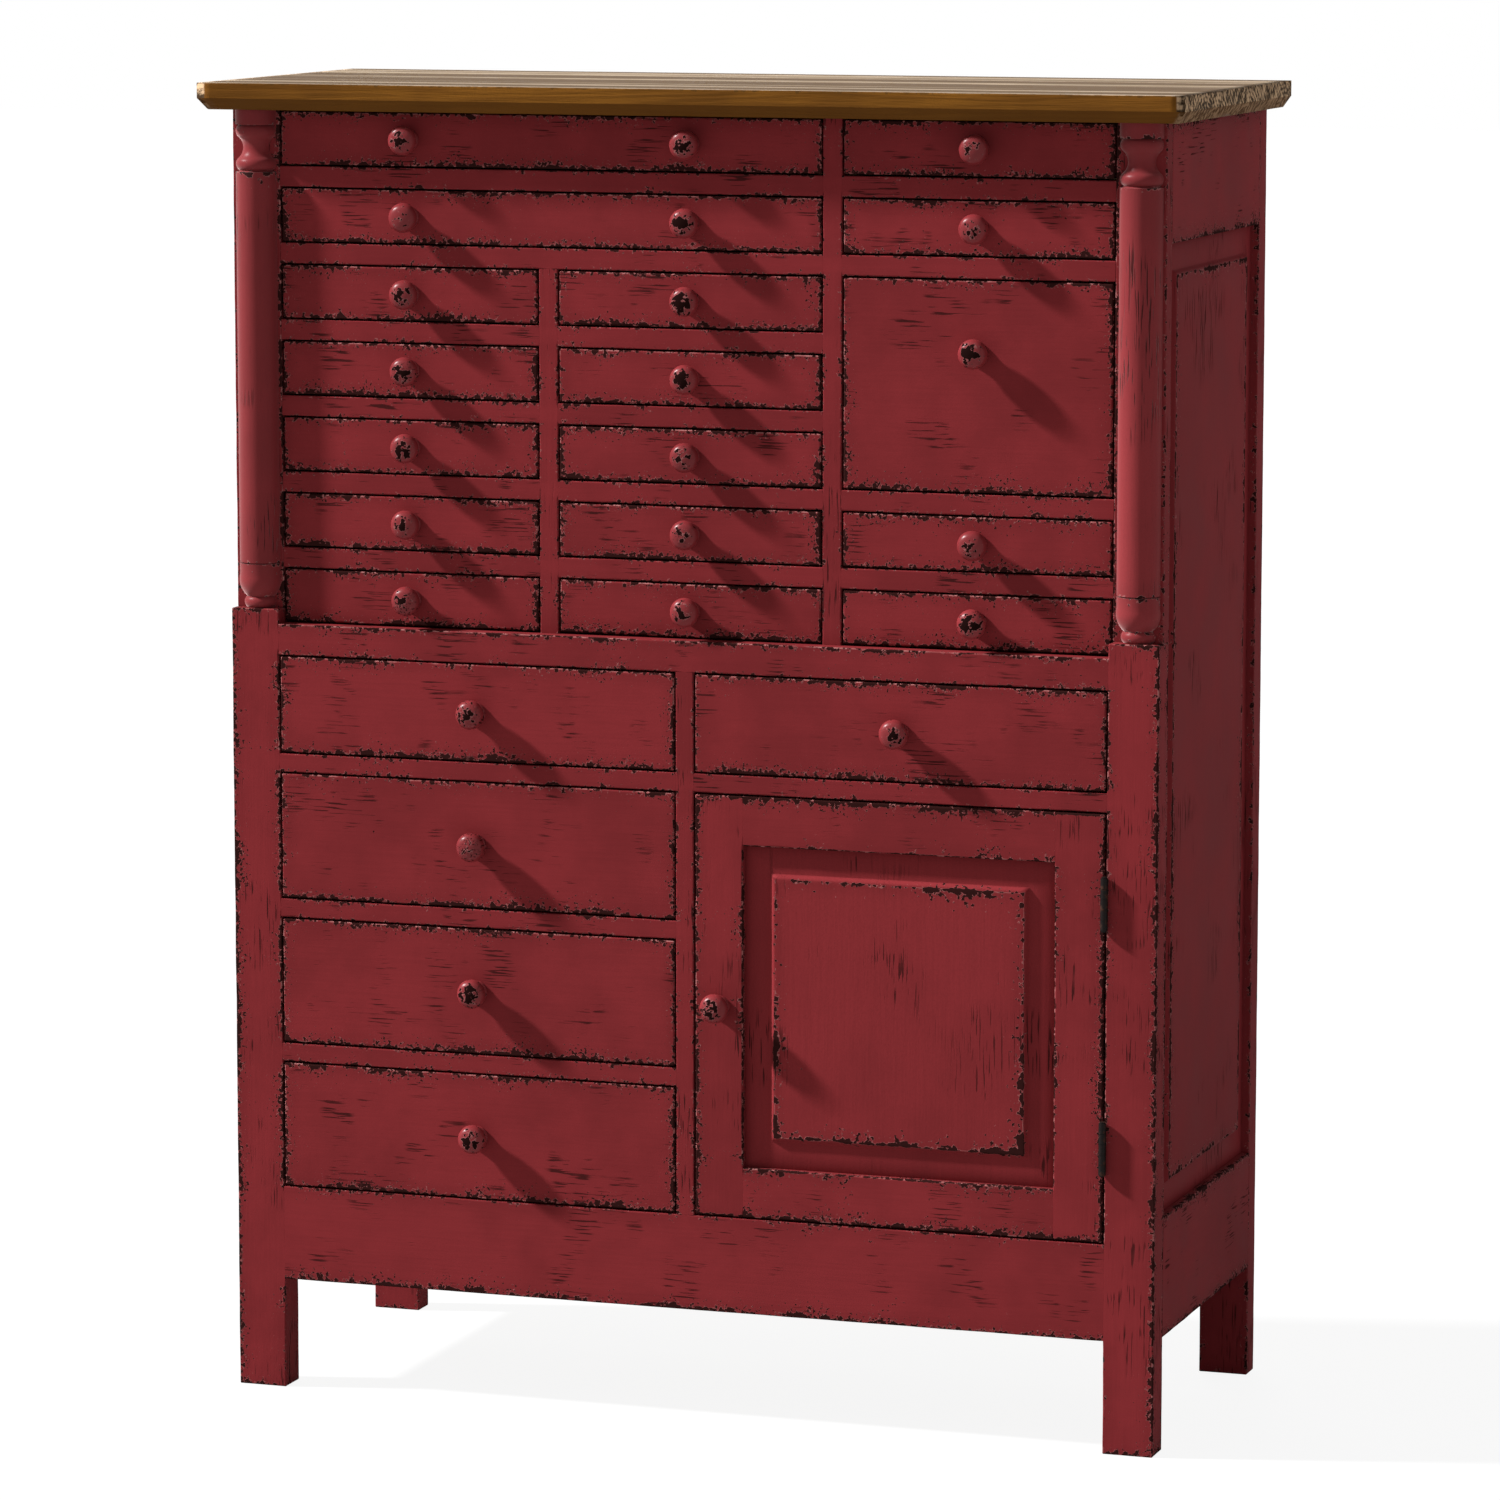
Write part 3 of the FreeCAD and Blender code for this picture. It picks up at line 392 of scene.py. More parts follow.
def turned_outline(rows):
    """Radius, height and edge distance along a turning's outline.

    Each row is a radius, a height, and None for a straight run from the row before or the distance from the
    axis of the centre of an arc. The edge distance is measured along the outline to the nearest outward
    corner.
    """
    radius, height = [rows[0][0]], [rows[0][1]]
    for (r0, h0, _), (r1, h1, centre) in zip(rows, rows[1:]):
        if centre is None:
            radius.append(r1)
            height.append(h1)
        else:
            middle = (h0 + h1) / 2 - (centre - (r0 + r1) / 2) * (r1 - r0) / (h1 - h0)
            start = math.atan2(h0 - middle, r0 - centre)
            sweep = math.atan2(h1 - middle, r1 - centre) - start
            sweep = (sweep + math.pi) % (2 * math.pi) - math.pi
            turn = start + sweep * np.linspace(0.0, 1.0, ARC_STEPS + 1)[1:]
            size = math.hypot(h0 - middle, r0 - centre)
            radius.extend(centre + size * np.cos(turn))
            height.extend(middle + size * np.sin(turn))
    radius, height = np.array(radius), np.array(height)
    run = np.concatenate([[0.0], np.cumsum(np.hypot(np.diff(radius), np.diff(height)))])
    ways = np.stack([np.diff(radius), np.diff(height)], axis=-1)
    ways /= np.maximum(np.linalg.norm(ways, axis=-1, keepdims=True), TINY)
    bend = ways[:-1, 0] * ways[1:, 1] - ways[:-1, 1] * ways[1:, 0]
    edges = run[1:-1][bend > math.sin(SHARP_EDGE)]
    rim = np.min(np.abs(run[:, None] - edges[None]), axis=1) if len(edges) else np.ones(len(run))
    return radius, height, rim


def split_runs(rows, step):
    """Long straight runs of an outline cut into steps, so that wear can vary along them."""
    fine = [rows[0]]
    for (r0, h0, _), (r1, h1, centre) in zip(rows, rows[1:]):
        parts = max(1, int(math.hypot(r1 - r0, h1 - h0) / step)) if centre is None else 1
        for part in range(1, parts):
            fine.append((r0 + (r1 - r0) * part / parts, h0 + (h1 - h0) * part / parts, None))
        fine.append((r1, h1, centre))
    return fine


def raised_panel(centre, across, outward, width, height, thickness, sizes, rng):
    """A panel with a raised field: a profile of insets and heights carried round a rectangle.

    The profile climbs the panel's edge, crosses the flat margin, rises over the sloped shoulder with eased
    corners and runs on to the field; each of its rows is a place and a share of the rise. The inset of the
    field's edge wanders a little, as a hand-worn edge does. The rim distance is 0 at the field's edge. On the
    slope it starts higher and grows faster, so that chips keep to the field.
    """
    margin, shoulder, rise = sizes.panel_margin, sizes.field_shoulder, sizes.field_rise
    edge = margin + shoulder
    ease = shoulder / 4
    slope = [
        (margin - ease, 0.0), (margin, 0.06), (margin + shoulder * 0.3, 0.38),
        (margin + shoulder * 0.62, 0.76), (edge - ease * 0.6, 0.94), (edge + ease, 1.0),
        (edge + 4 * ease, 1.0), (edge + sizes.field_reach, 1.0),
    ]
    inset = np.array([0.0, 0.0] + [place for place, _ in slope])
    level = np.array([0.0, thickness] + [thickness + rise * part for _, part in slope])
    rim = np.where(inset > edge, inset - edge, NEAR_EDGE + SLOPE_RIM * (edge - inset))
    counts = [max(2, int(round(side / sizes.board_step))) for side in (width, height, width, height)]
    start = np.array([[-1, -1], [1, -1], [1, 1], [-1, 1]], float)
    way = np.roll(start, -1, axis=0) - start
    unit = np.concatenate([start[side] + way[side] * (np.arange(count) / count)[:, None]
                           for side, count in enumerate(counts)])
    wobble = wander(rng, len(unit), 1, -sizes.field_wobble, sizes.field_wobble, WOBBLE_REACH)[:, 0]
    near_edge = np.exp(-(rim / (2 * shoulder)) ** 2)
    drawn = inset[:, None] + near_edge[:, None] * wobble[None]
    half = np.array([width, height]) / 2
    flat = unit[None] * (half[None, None] - drawn[..., None])
    across, outward = np.asarray(across, float), np.asarray(outward, float)
    rings = (np.asarray(centre) + flat[..., :1] * across + flat[..., 1:] * np.eye(3)[Z]
             + level[:, None, None] * outward)
    return carried(rings, Z, rng, rim=rim)


def new_piece(name, surfaces, material, body, stands_for=(), sharp=False):
    """One object from several surfaces, with their marks as attributes, riding on a body."""
    starts = np.cumsum([0] + [len(surface.points) for surface in surfaces])
    points = np.concatenate([surface.points for surface in surfaces])
    quads = np.concatenate([surface.quads + start for surface, start in zip(surfaces, starts)])
    caps = [(cap + start).tolist() for surface, start in zip(surfaces, starts) for cap in surface.caps]
    mesh = bpy.data.meshes.new(name)
    mesh.from_pydata(points.tolist(), [], quads.tolist() + caps)
    for mark in surfaces[0].marks:
        values = np.concatenate([surface.marks[mark] for surface in surfaces]).astype(np.float32)
        flat = values.ndim == 1
        attribute = mesh.attributes.new(mark, "FLOAT" if flat else "FLOAT_VECTOR", "POINT")
        attribute.data.foreach_set("value" if flat else "vector", values.ravel())
    mesh.shade_smooth()
    if sharp:
        mesh.set_sharp_from_angle(angle=SHARP_EDGE)
    mesh.materials.append(material)
    mesh.update()
    if mesh.validate(verbose=False):
        raise RuntimeError(f"{name} has a broken mesh")
    piece = bpy.data.objects.new(name, mesh)
    bpy.context.scene.collection.objects.link(piece)
    weighted = piece.modifiers.new("face_weighted_normals", "WEIGHTED_NORMAL")
    weighted.keep_sharp = True
    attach(piece, body)
    if stands_for:
        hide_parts(*stands_for)


def paint_node(name, material):
    """Gives a node of the frame a material instead of its own."""
    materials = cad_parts[name].data.materials
    materials.clear()
    materials.append(material)


# Places read from the frame

BAY_COLUMNS = ("left", "middle", "right", "lower_left", "lower_right")
Bays = namedtuple("Bays", BAY_COLUMNS + ("apron_top", "door_top"))


def opening(name, gap):
    """Limits in x and z of the opening round a drawer front or the door."""
    low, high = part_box("door_frame" if name == "door" else f"{name}_front")
    return low.x - gap, high.x + gap, low.z - gap, high.z + gap


def all_openings(gap):
    """The openings of every drawer and of the door."""
    return [opening(name, gap) for name in DRAWERS + ["door"]]


def bays(gap):
    """The upper opening of each column of drawers, and the tops of the apron and the door's opening."""
    heads = [opening(DRAWER_COLUMNS[column][0], gap) for column in BAY_COLUMNS]
    return Bays(*heads, opening("lower_left_drawer_4", gap)[2], opening("door", gap)[3])


def wear_beside(openings, free=(), most=FULL_WEAR):
    """A wear function: most along the edges of openings and at free edges, 0 where boards butt.

    A free edge is an axis, a sign, a value and its wear: points past the value on that side have that wear.
    """
    limits = np.array(openings)

    def wear(points):
        x, z = points[:, X, None], points[:, Z, None]
        out_x = np.maximum(np.maximum(limits[:, 0] - x, x - limits[:, 1]), 0.0)
        out_z = np.maximum(np.maximum(limits[:, 2] - z, z - limits[:, 3]), 0.0)
        worn = most * (1.0 - smoothstep(*WEAR_FADE, np.hypot(out_x, out_z).min(axis=1)))
        for axis, sign, value, strength in free:
            worn = np.maximum(worn, strength * (sign * (points[:, axis] - value) > 0))
        return worn

    return wear


# Shader node groups and materials

class Graph:
    """Short ways to add nodes to one tree. A value is a number, a tuple or another node's output.

    Limits given to a step are values of what is stepped: shares for noise, metres for distances.
    """

    def __init__(self, tree):
        self.tree = tree

    def feed(self, socket, value):
        """Links a node's output to a socket, or sets the socket to a number or tuple."""
        if isinstance(value, bpy.types.NodeSocket):
            self.tree.links.new(value, socket)
        else:
            socket.default_value = value

    def add(self, kind, inputs, output=0, **settings):
        """One output of a new node, or the node itself where it has none."""
        node = self.tree.nodes.new(kind)
        for name, value in settings.items():
            setattr(node, name, value)
        for key, value in inputs.items():
            self.feed(node.inputs[key], value)
        return node.outputs[output] if node.outputs else node

    def number(self, operation, *values, clamp=False):
        return self.add("ShaderNodeMath", dict(enumerate(values)), operation=operation, use_clamp=clamp)

    plus = partialmethod(number, "ADD")
    minus = partialmethod(number, "SUBTRACT")
    times = partialmethod(number, "MULTIPLY")
    times_plus = partialmethod(number, "MULTIPLY_ADD")
    larger = partialmethod(number, "MAXIMUM")
    smaller = partialmethod(number, "MINIMUM")

    def vector(self, operation, *values):
        output = "Value" if operation in ("DOT_PRODUCT", "LENGTH") else "Vector"
        return self.add("ShaderNodeVectorMath", dict(enumerate(values)), output, operation=operation)

    def scaled(self, vector, amount):
        return self.add("ShaderNodeVectorMath", {0: vector, "Scale": amount}, operation="SCALE")

    def split(self, vector):
        """The three parts of a vector."""
        return self.add("ShaderNodeSeparateXYZ", {0: vector}).node.outputs

    def noise(self, vector, scale, detail, roughness, distortion=0.0):
        """Noise between 0 and 1; its scale counts features in a metre."""
        inputs = {"Vector": vector, "Scale": scale, "Detail": detail, "Roughness": roughness,
                  "Distortion": distortion}
        return self.add("ShaderNodeTexNoise", inputs, "Fac")

    def step(self, value, low, high, start=0.0, end=1.0):
        """Start below low, end above high, and a smooth step between them."""
        inputs = {"Value": value, "From Min": low, "From Max": high, "To Min": start, "To Max": end}
        return self.add("ShaderNodeMapRange", inputs, "Result", interpolation_type="SMOOTHSTEP")

    def mix(self, factor, first, second, blend="MIX"):
        """The first colour where the factor is 0, the second where it is 1."""
        inputs = {0: factor, 6: first, 7: second}
        return self.add("ShaderNodeMix", inputs, 2, data_type="RGBA", blend_type=blend)

    def attribute(self, name, output="Vector"):
        return self.add("ShaderNodeAttribute", {}, output, attribute_name=name)

    def group(self, tree, inputs):
        """The outputs of a group."""
        return self.add("ShaderNodeGroup", inputs, node_tree=tree).node.outputs


def new_group(name, inputs, outputs):
    """An empty shader group with sockets listed by kind, its graph, and its input and output sockets."""
    tree = bpy.data.node_groups.new(name, "ShaderNodeTree")
    for side, kinds in (("INPUT", inputs), ("OUTPUT", outputs)):
        for kind, labels in kinds.items():
            for label in labels:
                tree.interface.new_socket(name=label, in_out=side, socket_type=f"NodeSocket{kind}")
    entry = tree.nodes.new("NodeGroupInput").outputs
    leave = tree.nodes.new("NodeGroupOutput").inputs
    return tree, Graph(tree), entry, leave


def kept_group(name, build):
    """The group of that name, built the first time that it is asked for."""
    return bpy.data.node_groups.get(name) or build(name)


def build_board_edges(name):
    """Distance from a point on a board to its nearest edge.

    Depth under the three pairs of faces is half size - |place|; one of them is 0 on the surface, so the
    middle one of the three is the distance to the edge.
    """
    tree, g, entry, leave = new_group(name, {"Vector": ["Place", "Half Size"]}, {"Float": ["Edge Distance"]})
    depth = g.split(g.vector("SUBTRACT", entry["Half Size"], g.vector("ABSOLUTE", entry["Place"])))
    low = g.smaller(depth[0], depth[1])
    high = g.larger(depth[0], depth[1])
    middle = g.larger(low, g.smaller(high, depth[2]))
    g.feed(leave["Edge Distance"], g.larger(middle, 0.0))
    return tree


def build_along_grain(name):
    """A place squeezed along the grain by a factor, and moved by the board's own offset."""
    inputs = {"Vector": ["Place", "Grain", "Offset"], "Float": ["Squeeze"]}
    tree, g, entry, leave = new_group(name, inputs, {"Vector": ["Along"]})
    along = g.vector("DOT_PRODUCT", entry["Place"], entry["Grain"])
    taken = g.times(along, g.minus(1.0, entry["Squeeze"]))
    squeezed = g.vector("SUBTRACT", entry["Place"], g.scaled(entry["Grain"], taken))
    g.feed(leave["Along"], g.vector("ADD", squeezed, entry["Offset"]))
    return tree


def build_worn_paint(name):
    """Paint that is chipped near edges and worn thin in streaks along the grain; its pale edge lines are
    partly painted highlight and its darker edges partly painted shade.

    Sound is 1 where there is paint and 0 where it is gone.
    """
    inputs = {
        "Vector": ["Place", "Along"],
        "Color": ["Red", "Deep Red", "Paint Edge", "Chip"],
        "Float": ["Edge Distance", "Worn", "Chip Width", "Streaks", "Rubbed", "Least Roughness"],
    }
    outputs = {"Color": ["Color"], "Float": ["Roughness", "Height", "Sound"]}
    tree, g, entry, leave = new_group(name, inputs, outputs)
    place, along, worn, distance = entry["Place"], entry["Along"], entry["Worn"], entry["Edge Distance"]
    deep_red = entry["Deep Red"]
    broad = g.noise(place, 4.5, 3.0, 0.55)
    middling = g.noise(place, 22.0, 3.0, 0.6)
    ragged = g.noise(place, 185.0, 2.2, 0.52)
    flecked = g.noise(place, 340.0, 2.0, 0.5)
    brushed = g.noise(along, 330.0, 3.0, 0.6)
    grit = g.noise(place, 950.0, 2.0, 0.6)

    # Chips and flecks, where noise exceeds a limit that rises with the distance from the edge
    wear = g.plus(g.times(ragged, 0.62), g.times(middling, 0.38))
    reach = g.number("DIVIDE", distance, entry["Chip Width"])
    covered = g.times(g.minus(1.0, worn), 0.6)
    excess = g.minus(wear, g.plus(g.times_plus(reach, 0.245, 0.442), covered))
    fleck = g.plus(flecked, g.times_plus(middling, 0.45, -0.225))
    fleck = g.minus(fleck, g.times_plus(reach, 0.085, g.plus(covered, 0.580)))
    excess = g.larger(excess, fleck)
    chip = g.step(excess, -0.006, 0.010)
    # Pale band just outside each chip: paint lifting at the chip's edge, raised in the relief, and lightened
    # in colour as painted highlight
    lifted_highlight = g.minus(g.step(excess, -0.030, -0.008), chip, clamp=True)
    # Pale line along most worn edges: partly paint worn away by rubbing, partly painted highlight where light
    # catches the rounded edge; none on the knobs
    rubbed = g.times(g.step(distance, 0.0017, 0.0009), g.step(middling, 0.39, 0.53))
    rubbed = g.times(rubbed, g.times(g.step(worn, 0.85, 0.90), entry["Rubbed"]))

    # Patches of dry-brush streaks, and a few round specks
    patch = g.step(g.noise(place, 17.0, 2.0, 0.5), 0.54, 0.65)
    lines = g.step(g.noise(along, 500.0, 1.5, 0.5), 0.58, 0.64)
    streak = g.times(g.times(patch, lines), entry["Streaks"])
    cells = g.add("ShaderNodeTexVoronoi", {"Vector": place, "Scale": 11.0}, "Distance").node.outputs
    chosen = g.step(g.split(cells["Color"])[0], 0.80, 0.82)
    speck = g.times(g.step(cells["Distance"], 0.016, 0.010), chosen)

    # Paint from clean to deep red, darker toward worn edges as glazing and as painted shade beside the gaps,
    # with brush marks and grit
    tone = g.step(g.times_plus(middling, 0.35, g.times(broad, 0.65)), 0.34, 0.62, 0.4, 1.0)
    paint = g.mix(tone, deep_red, entry["Red"])
    # Deep red toward worn edges: partly glazing, partly painted shade along the gaps between parts
    glaze_and_shade = g.step(distance, 0.020, 0.0, 0.0, 0.34)
    paint = g.mix(g.plus(g.times(glaze_and_shade, worn), g.times(patch, 0.10)), paint, deep_red)
    paint = g.mix(g.step(brushed, 0.35, 0.75, 0.0, 0.16), paint, deep_red)
    paint = g.mix(g.step(grit, 0.42, 0.70, 0.0, 0.22), paint, deep_red)
    # Lighten toward the pale edge colour: partly worn paint, partly painted highlight
    pale_edge_and_highlight = g.larger(g.times(lifted_highlight, 0.32), g.times(rubbed, 0.72))
    paint = g.mix(pale_edge_and_highlight, paint, entry["Paint Edge"])
    bare = g.larger(g.larger(chip, streak), speck)
    g.feed(leave["Color"], g.mix(bare, paint, entry["Chip"]))

    rough = g.times_plus(middling, 0.16, entry["Least Roughness"])
    g.feed(leave["Roughness"], g.times_plus(bare, 0.34, rough, clamp=True))
    sound = g.minus(1.0, bare)
    g.feed(leave["Sound"], sound)
    skin = g.times_plus(brushed, 0.22, g.times_plus(grit, 0.15, sound))
    g.feed(leave["Height"], g.times_plus(lifted_highlight, 0.25, skin))
    return tree


def build_wood_grain(name):
    """Growth rings and fibres along the grain, between a light and a dark colour."""
    inputs = {"Vector": ["Place", "Along"], "Color": ["Light", "Dark"], "Float": ["Contrast", "Board Tone"]}
    tree, g, entry, leave = new_group(name, inputs, {"Color": ["Color"], "Float": ["Fibre"]})
    along, dark = entry["Along"], entry["Dark"]
    figure = g.noise(along, 34.0, 2.0, 0.5, 0.35)
    rings = g.times_plus(g.number("SINE", g.times(figure, 62.0)), 0.5, 0.5)
    fibre = g.noise(along, 620.0, 3.0, 0.6)
    strands = g.noise(along, 130.0, 3.0, 0.6)
    tone = g.times_plus(rings, 0.42, g.times(strands, 0.62))
    wood = g.mix(g.times(g.step(tone, 0.30, 0.85), entry["Contrast"]), entry["Light"], dark)
    pores = g.times(g.step(fibre, 0.60, 0.72), 0.45)
    blotch = g.step(g.noise(entry["Place"], 6.0, 2.0, 0.5), 0.3, 0.75, 0.0, 0.28)
    shade = g.step(entry["Board Tone"], 0.0, 1.0, 0.0, 0.22)
    g.feed(leave["Color"], g.mix(g.plus(g.larger(pores, blotch), shade), wood, dark))
    g.feed(leave["Fibre"], g.times_plus(rings, 0.3, fibre))
    return tree


# How far patterns are squeezed along the grain, relief of the bumps in metres, and the shaders' own constants
PAINT_SQUEEZE = 0.05
WOOD_SQUEEZE = 0.045
STRIP_SQUEEZE = 0.015
PAINT_RELIEF = 0.0005
TOP_RELIEF = 0.0006
PINE_RELIEF = 0.0003
IRON_RELIEF = 0.0002
PAINT_SPECULAR = 0.006
TOP_SPECULAR = 0.015
PINE_SPECULAR = 0.25
IRON_SPECULAR = 0.1
COAT_ROUGHER = 0.08
SHEEN_ROUGHNESS = 0.38
SHEEN_TINT = (1.0, 0.72, 0.70, 1.0)
PINE_CONTRAST = 0.6
BARE_FROM = (0.94, 0.97)
RUNNER_GRAIN = (0.0, 1.0, 0.0)
RUNNER_OFFSET = (3.0, 5.0, 7.0)
RUNNER_TONE = 0.3

# Worn paint of each kind of piece: spread of its pattern, least roughness, pale edge line (worn paint and
# painted highlight), gloss, sheen and chips
PaintLook = namedtuple("PaintLook", "spread rough rubbed coat sheen chip on_board turned",
                       defaults=(0.0, 0.0, "chip", False, False))
PAINT_LOOKS = {
    "boards": PaintLook(spread=1.0, rough=0.46, rubbed=0.62, on_board=True),
    "panels": PaintLook(spread=0.55, rough=0.46, rubbed=0.8),
    "columns": PaintLook(spread=0.55, rough=0.29, rubbed=1.0, coat=0.12, sheen=0.50, turned=True),
    # The knobs take the darker chip colour, which is painted shade
    "knobs": PaintLook(spread=0.72, rough=0.24, rubbed=0.0, coat=0.26, chip="knob_chip", turned=True),
}


class Surfacing:
    """A material under way: its graph, its shader and what the piece carries for it."""

    def __init__(self, name, specular):
        self.finish = bpy.context.scene.chest_finish
        self.material = bpy.data.materials.new(name)
        self.material.use_nodes = True
        self.g = Graph(self.material.node_tree)
        self.shader = self.material.node_tree.nodes["Principled BSDF"]
        self.constants(**{"Specular IOR Level": specular})
        self.position = self.g.add("ShaderNodeTexCoord", {}, "Object")

    def constants(self, **values):
        """Values that are the same all over the surface, set on the shader itself."""
        for socket, value in values.items():
            self.shader.inputs[socket].default_value = value

    def board(self):
        """Place from the middle of a point's board, the board's grain, and its own offset."""
        place = self.g.vector("SUBTRACT", self.position, self.g.attribute("board_centre"))
        return place, self.g.attribute("board_grain"), self.g.attribute("board_offset")

    def board_tone(self, offset):
        """A number from 0 to 1 that each board has for itself."""
        return self.g.number("FRACT", self.g.split(offset)[0])

    def edge_distance(self, place):
        group = kept_group("board_edges", build_board_edges)
        half = self.g.attribute("board_half")
        return self.g.group(group, {"Place": place, "Half Size": half})["Edge Distance"]

    def along(self, place, grain, offset, squeeze):
        group = kept_group("along_grain", build_along_grain)
        inputs = {"Place": place, "Grain": grain, "Offset": offset, "Squeeze": squeeze}
        return self.g.group(group, inputs)["Along"]

    def wood(self, place, along, light, dark, contrast, tone):
        group = kept_group("wood_grain", build_wood_grain)
        return self.g.group(group, {"Place": place, "Along": along, "Light": light[:], "Dark": dark[:],
                                    "Contrast": contrast, "Board Tone": tone})

    def done(self, colour, roughness, height, relief):
        bump = self.g.add("ShaderNodeBump", {"Strength": 1.0, "Distance": relief, "Height": height}, "Normal")
        for socket, value in (("Base Color", colour), ("Roughness", roughness), ("Normal", bump)):
            self.g.feed(self.shader.inputs[socket], value)
        return self.material


def paint_material(name, look):
    """Worn red paint. Edges come from a board's half size, or from the rim distance of a turning or panel.

    A coat gives gloss and sheen, and the gloss stays off the chips. The back of a drawer front is bare pine.
    """
    made = Surfacing(name, PAINT_SPECULAR)
    g, finish = made.g, made.finish
    place, grain, offset = made.board()
    paint = g.group(kept_group("worn_paint", build_worn_paint), {
        "Place": g.vector("ADD", g.scaled(place, look.spread), offset),
        "Along": made.along(place, grain, offset, PAINT_SQUEEZE),
        "Edge Distance": made.edge_distance(place) if look.on_board else g.attribute("rim_distance", "Fac"),
        "Worn": g.attribute("worn", "Fac"), "Red": finish.red[:], "Deep Red": finish.deep_red[:],
        "Paint Edge": finish.paint_edge[:], "Chip": getattr(finish, look.chip)[:],
        "Chip Width": finish.chip_width, "Streaks": finish.streaks, "Rubbed": look.rubbed,
        "Least Roughness": look.rough,
    })
    colour = paint["Color"]
    if look.coat:
        made.constants(**{"Sheen Weight": look.sheen, "Sheen Roughness": SHEEN_ROUGHNESS,
                          "Sheen Tint": SHEEN_TINT, "Coat Roughness": look.rough + COAT_ROUGHER})
        g.feed(made.shader.inputs["Coat Weight"], g.times(paint["Sound"], look.coat))
    if look.on_board:
        along = made.along(place, grain, offset, WOOD_SQUEEZE)
        wood = made.wood(g.vector("ADD", place, offset), along, finish.pine, finish.pine_dark, PINE_CONTRAST,
                         made.board_tone(offset))
        bare = g.step(g.attribute("depth_share", "Fac"), *BARE_FROM)
        colour = g.mix(bare, colour, wood["Color"])
    return made.done(colour, paint["Roughness"], paint["Height"], PAINT_RELIEF)


def top_material(name):
    """Plank top: weathered above, varnished at the front, sawn end grain at the ends, with painted shade on
    the surfaces that face down.
    """
    made = Surfacing(name, TOP_SPECULAR)
    g, finish = made.g, made.finish
    place, grain, offset = made.board()
    moved = g.vector("ADD", place, offset)
    along = made.along(place, grain, offset, WOOD_SQUEEZE)
    upper = made.wood(moved, along, finish.weathered, finish.weathered_dark, 0.45, made.board_tone(offset))
    front = made.wood(moved, along, finish.varnish, finish.varnish_dark, 0.4, 0.0)
    facing = g.split(g.add("ShaderNodeTexCoord", {}, "Normal"))
    upward = g.step(facing[2], 0.55, 0.85)
    under = g.step(facing[2], -0.25, -0.5)
    endward = g.step(g.number("ABSOLUTE", facing[0]), 0.5, 0.7)

    grit = g.step(g.noise(moved, 800.0, 2.0, 0.6), 0.42, 0.70, 0.0, 0.34)
    stain = g.step(g.noise(moved, 5.0, 3.0, 0.6), 0.46, 0.66, 0.0, 0.6)
    varnished = g.mix(g.larger(grit, stain), front["Color"], finish.varnish_dark[:])
    stretched = made.along(place, grain, offset, STRIP_SQUEEZE)
    strips = g.step(g.noise(stretched, 15.0, 4.0, 0.66), 0.42, 0.54)
    weathered = g.mix(g.times(strips, 0.90), upper["Color"], finish.weathered_dark[:])
    fibres = g.step(g.noise(stretched, 420.0, 3.0, 0.6), 0.36, 0.62, 0.66, 1.10)
    weathered = g.mix(1.0, weathered, fibres, "MULTIPLY")

    # Ends: growth rings round a heart below each plank, slanting saw marks and blotches
    heart = g.vector("MULTIPLY_ADD", g.vector("SINE", offset), (0.0, 0.05, 0.012), (0.0, 0.0, 0.045))
    from_heart = g.vector("MULTIPLY_ADD", place, (0.0, 1.0, 1.0), heart)
    wavy = g.times_plus(g.noise(moved, 20.0, 2.0, 0.5), 14.0, g.times(g.vector("LENGTH", from_heart), 1150.0))
    slant = g.number("SINE", g.times(g.vector("DOT_PRODUCT", place, (0.0, 0.8, 1.0)), 700.0))
    blotch = g.noise(moved, 85.0, 5.0, 0.75)
    sawn = g.times_plus(g.number("SINE", wavy), 0.04, g.times_plus(slant, 0.04, blotch))
    sawn = g.step(sawn, 0.41, 0.60)
    ends = g.mix(sawn, finish.end_grain_dark[:], finish.end_grain[:])

    colour = g.mix(upward, varnished, weathered)
    colour = g.mix(endward, colour, ends)
    # Painted shade: the bevels and underside of the top face down and are darkened toward the dark varnish
    colour = g.mix(g.times(under, 0.62), colour, finish.varnish_dark[:])
    worn = g.minus(g.noise(moved, 120.0, 4.0, 0.7), g.times_plus(made.edge_distance(place), 60.0, 0.44))
    colour = g.mix(g.step(worn, 0.0, 0.08, 0.0, 0.6), colour, finish.weathered_dark[:])
    rough = g.times_plus(g.larger(upward, endward), 0.30, 0.38)
    height = g.mix(endward, front["Fibre"], sawn)
    return made.done(colour, rough, height, TOP_RELIEF)


def pine_material(name, marked=True):
    """Bare pine with its grain along each board. The runners aren't marked, and all run front to back."""
    made = Surfacing(name, PINE_SPECULAR)
    g, finish = made.g, made.finish
    if marked:
        place, grain, offset = made.board()
        moved, tone = g.vector("ADD", place, offset), made.board_tone(offset)
    else:
        place, grain, offset = made.position, RUNNER_GRAIN, RUNNER_OFFSET
        moved, tone = place, RUNNER_TONE
    along = made.along(place, grain, offset, WOOD_SQUEEZE)
    wood = made.wood(moved, along, finish.pine, finish.pine_dark, PINE_CONTRAST, tone)
    rough = g.times_plus(wood["Fibre"], 0.15, 0.58)
    return made.done(wood["Color"], rough, wood["Fibre"], PINE_RELIEF)


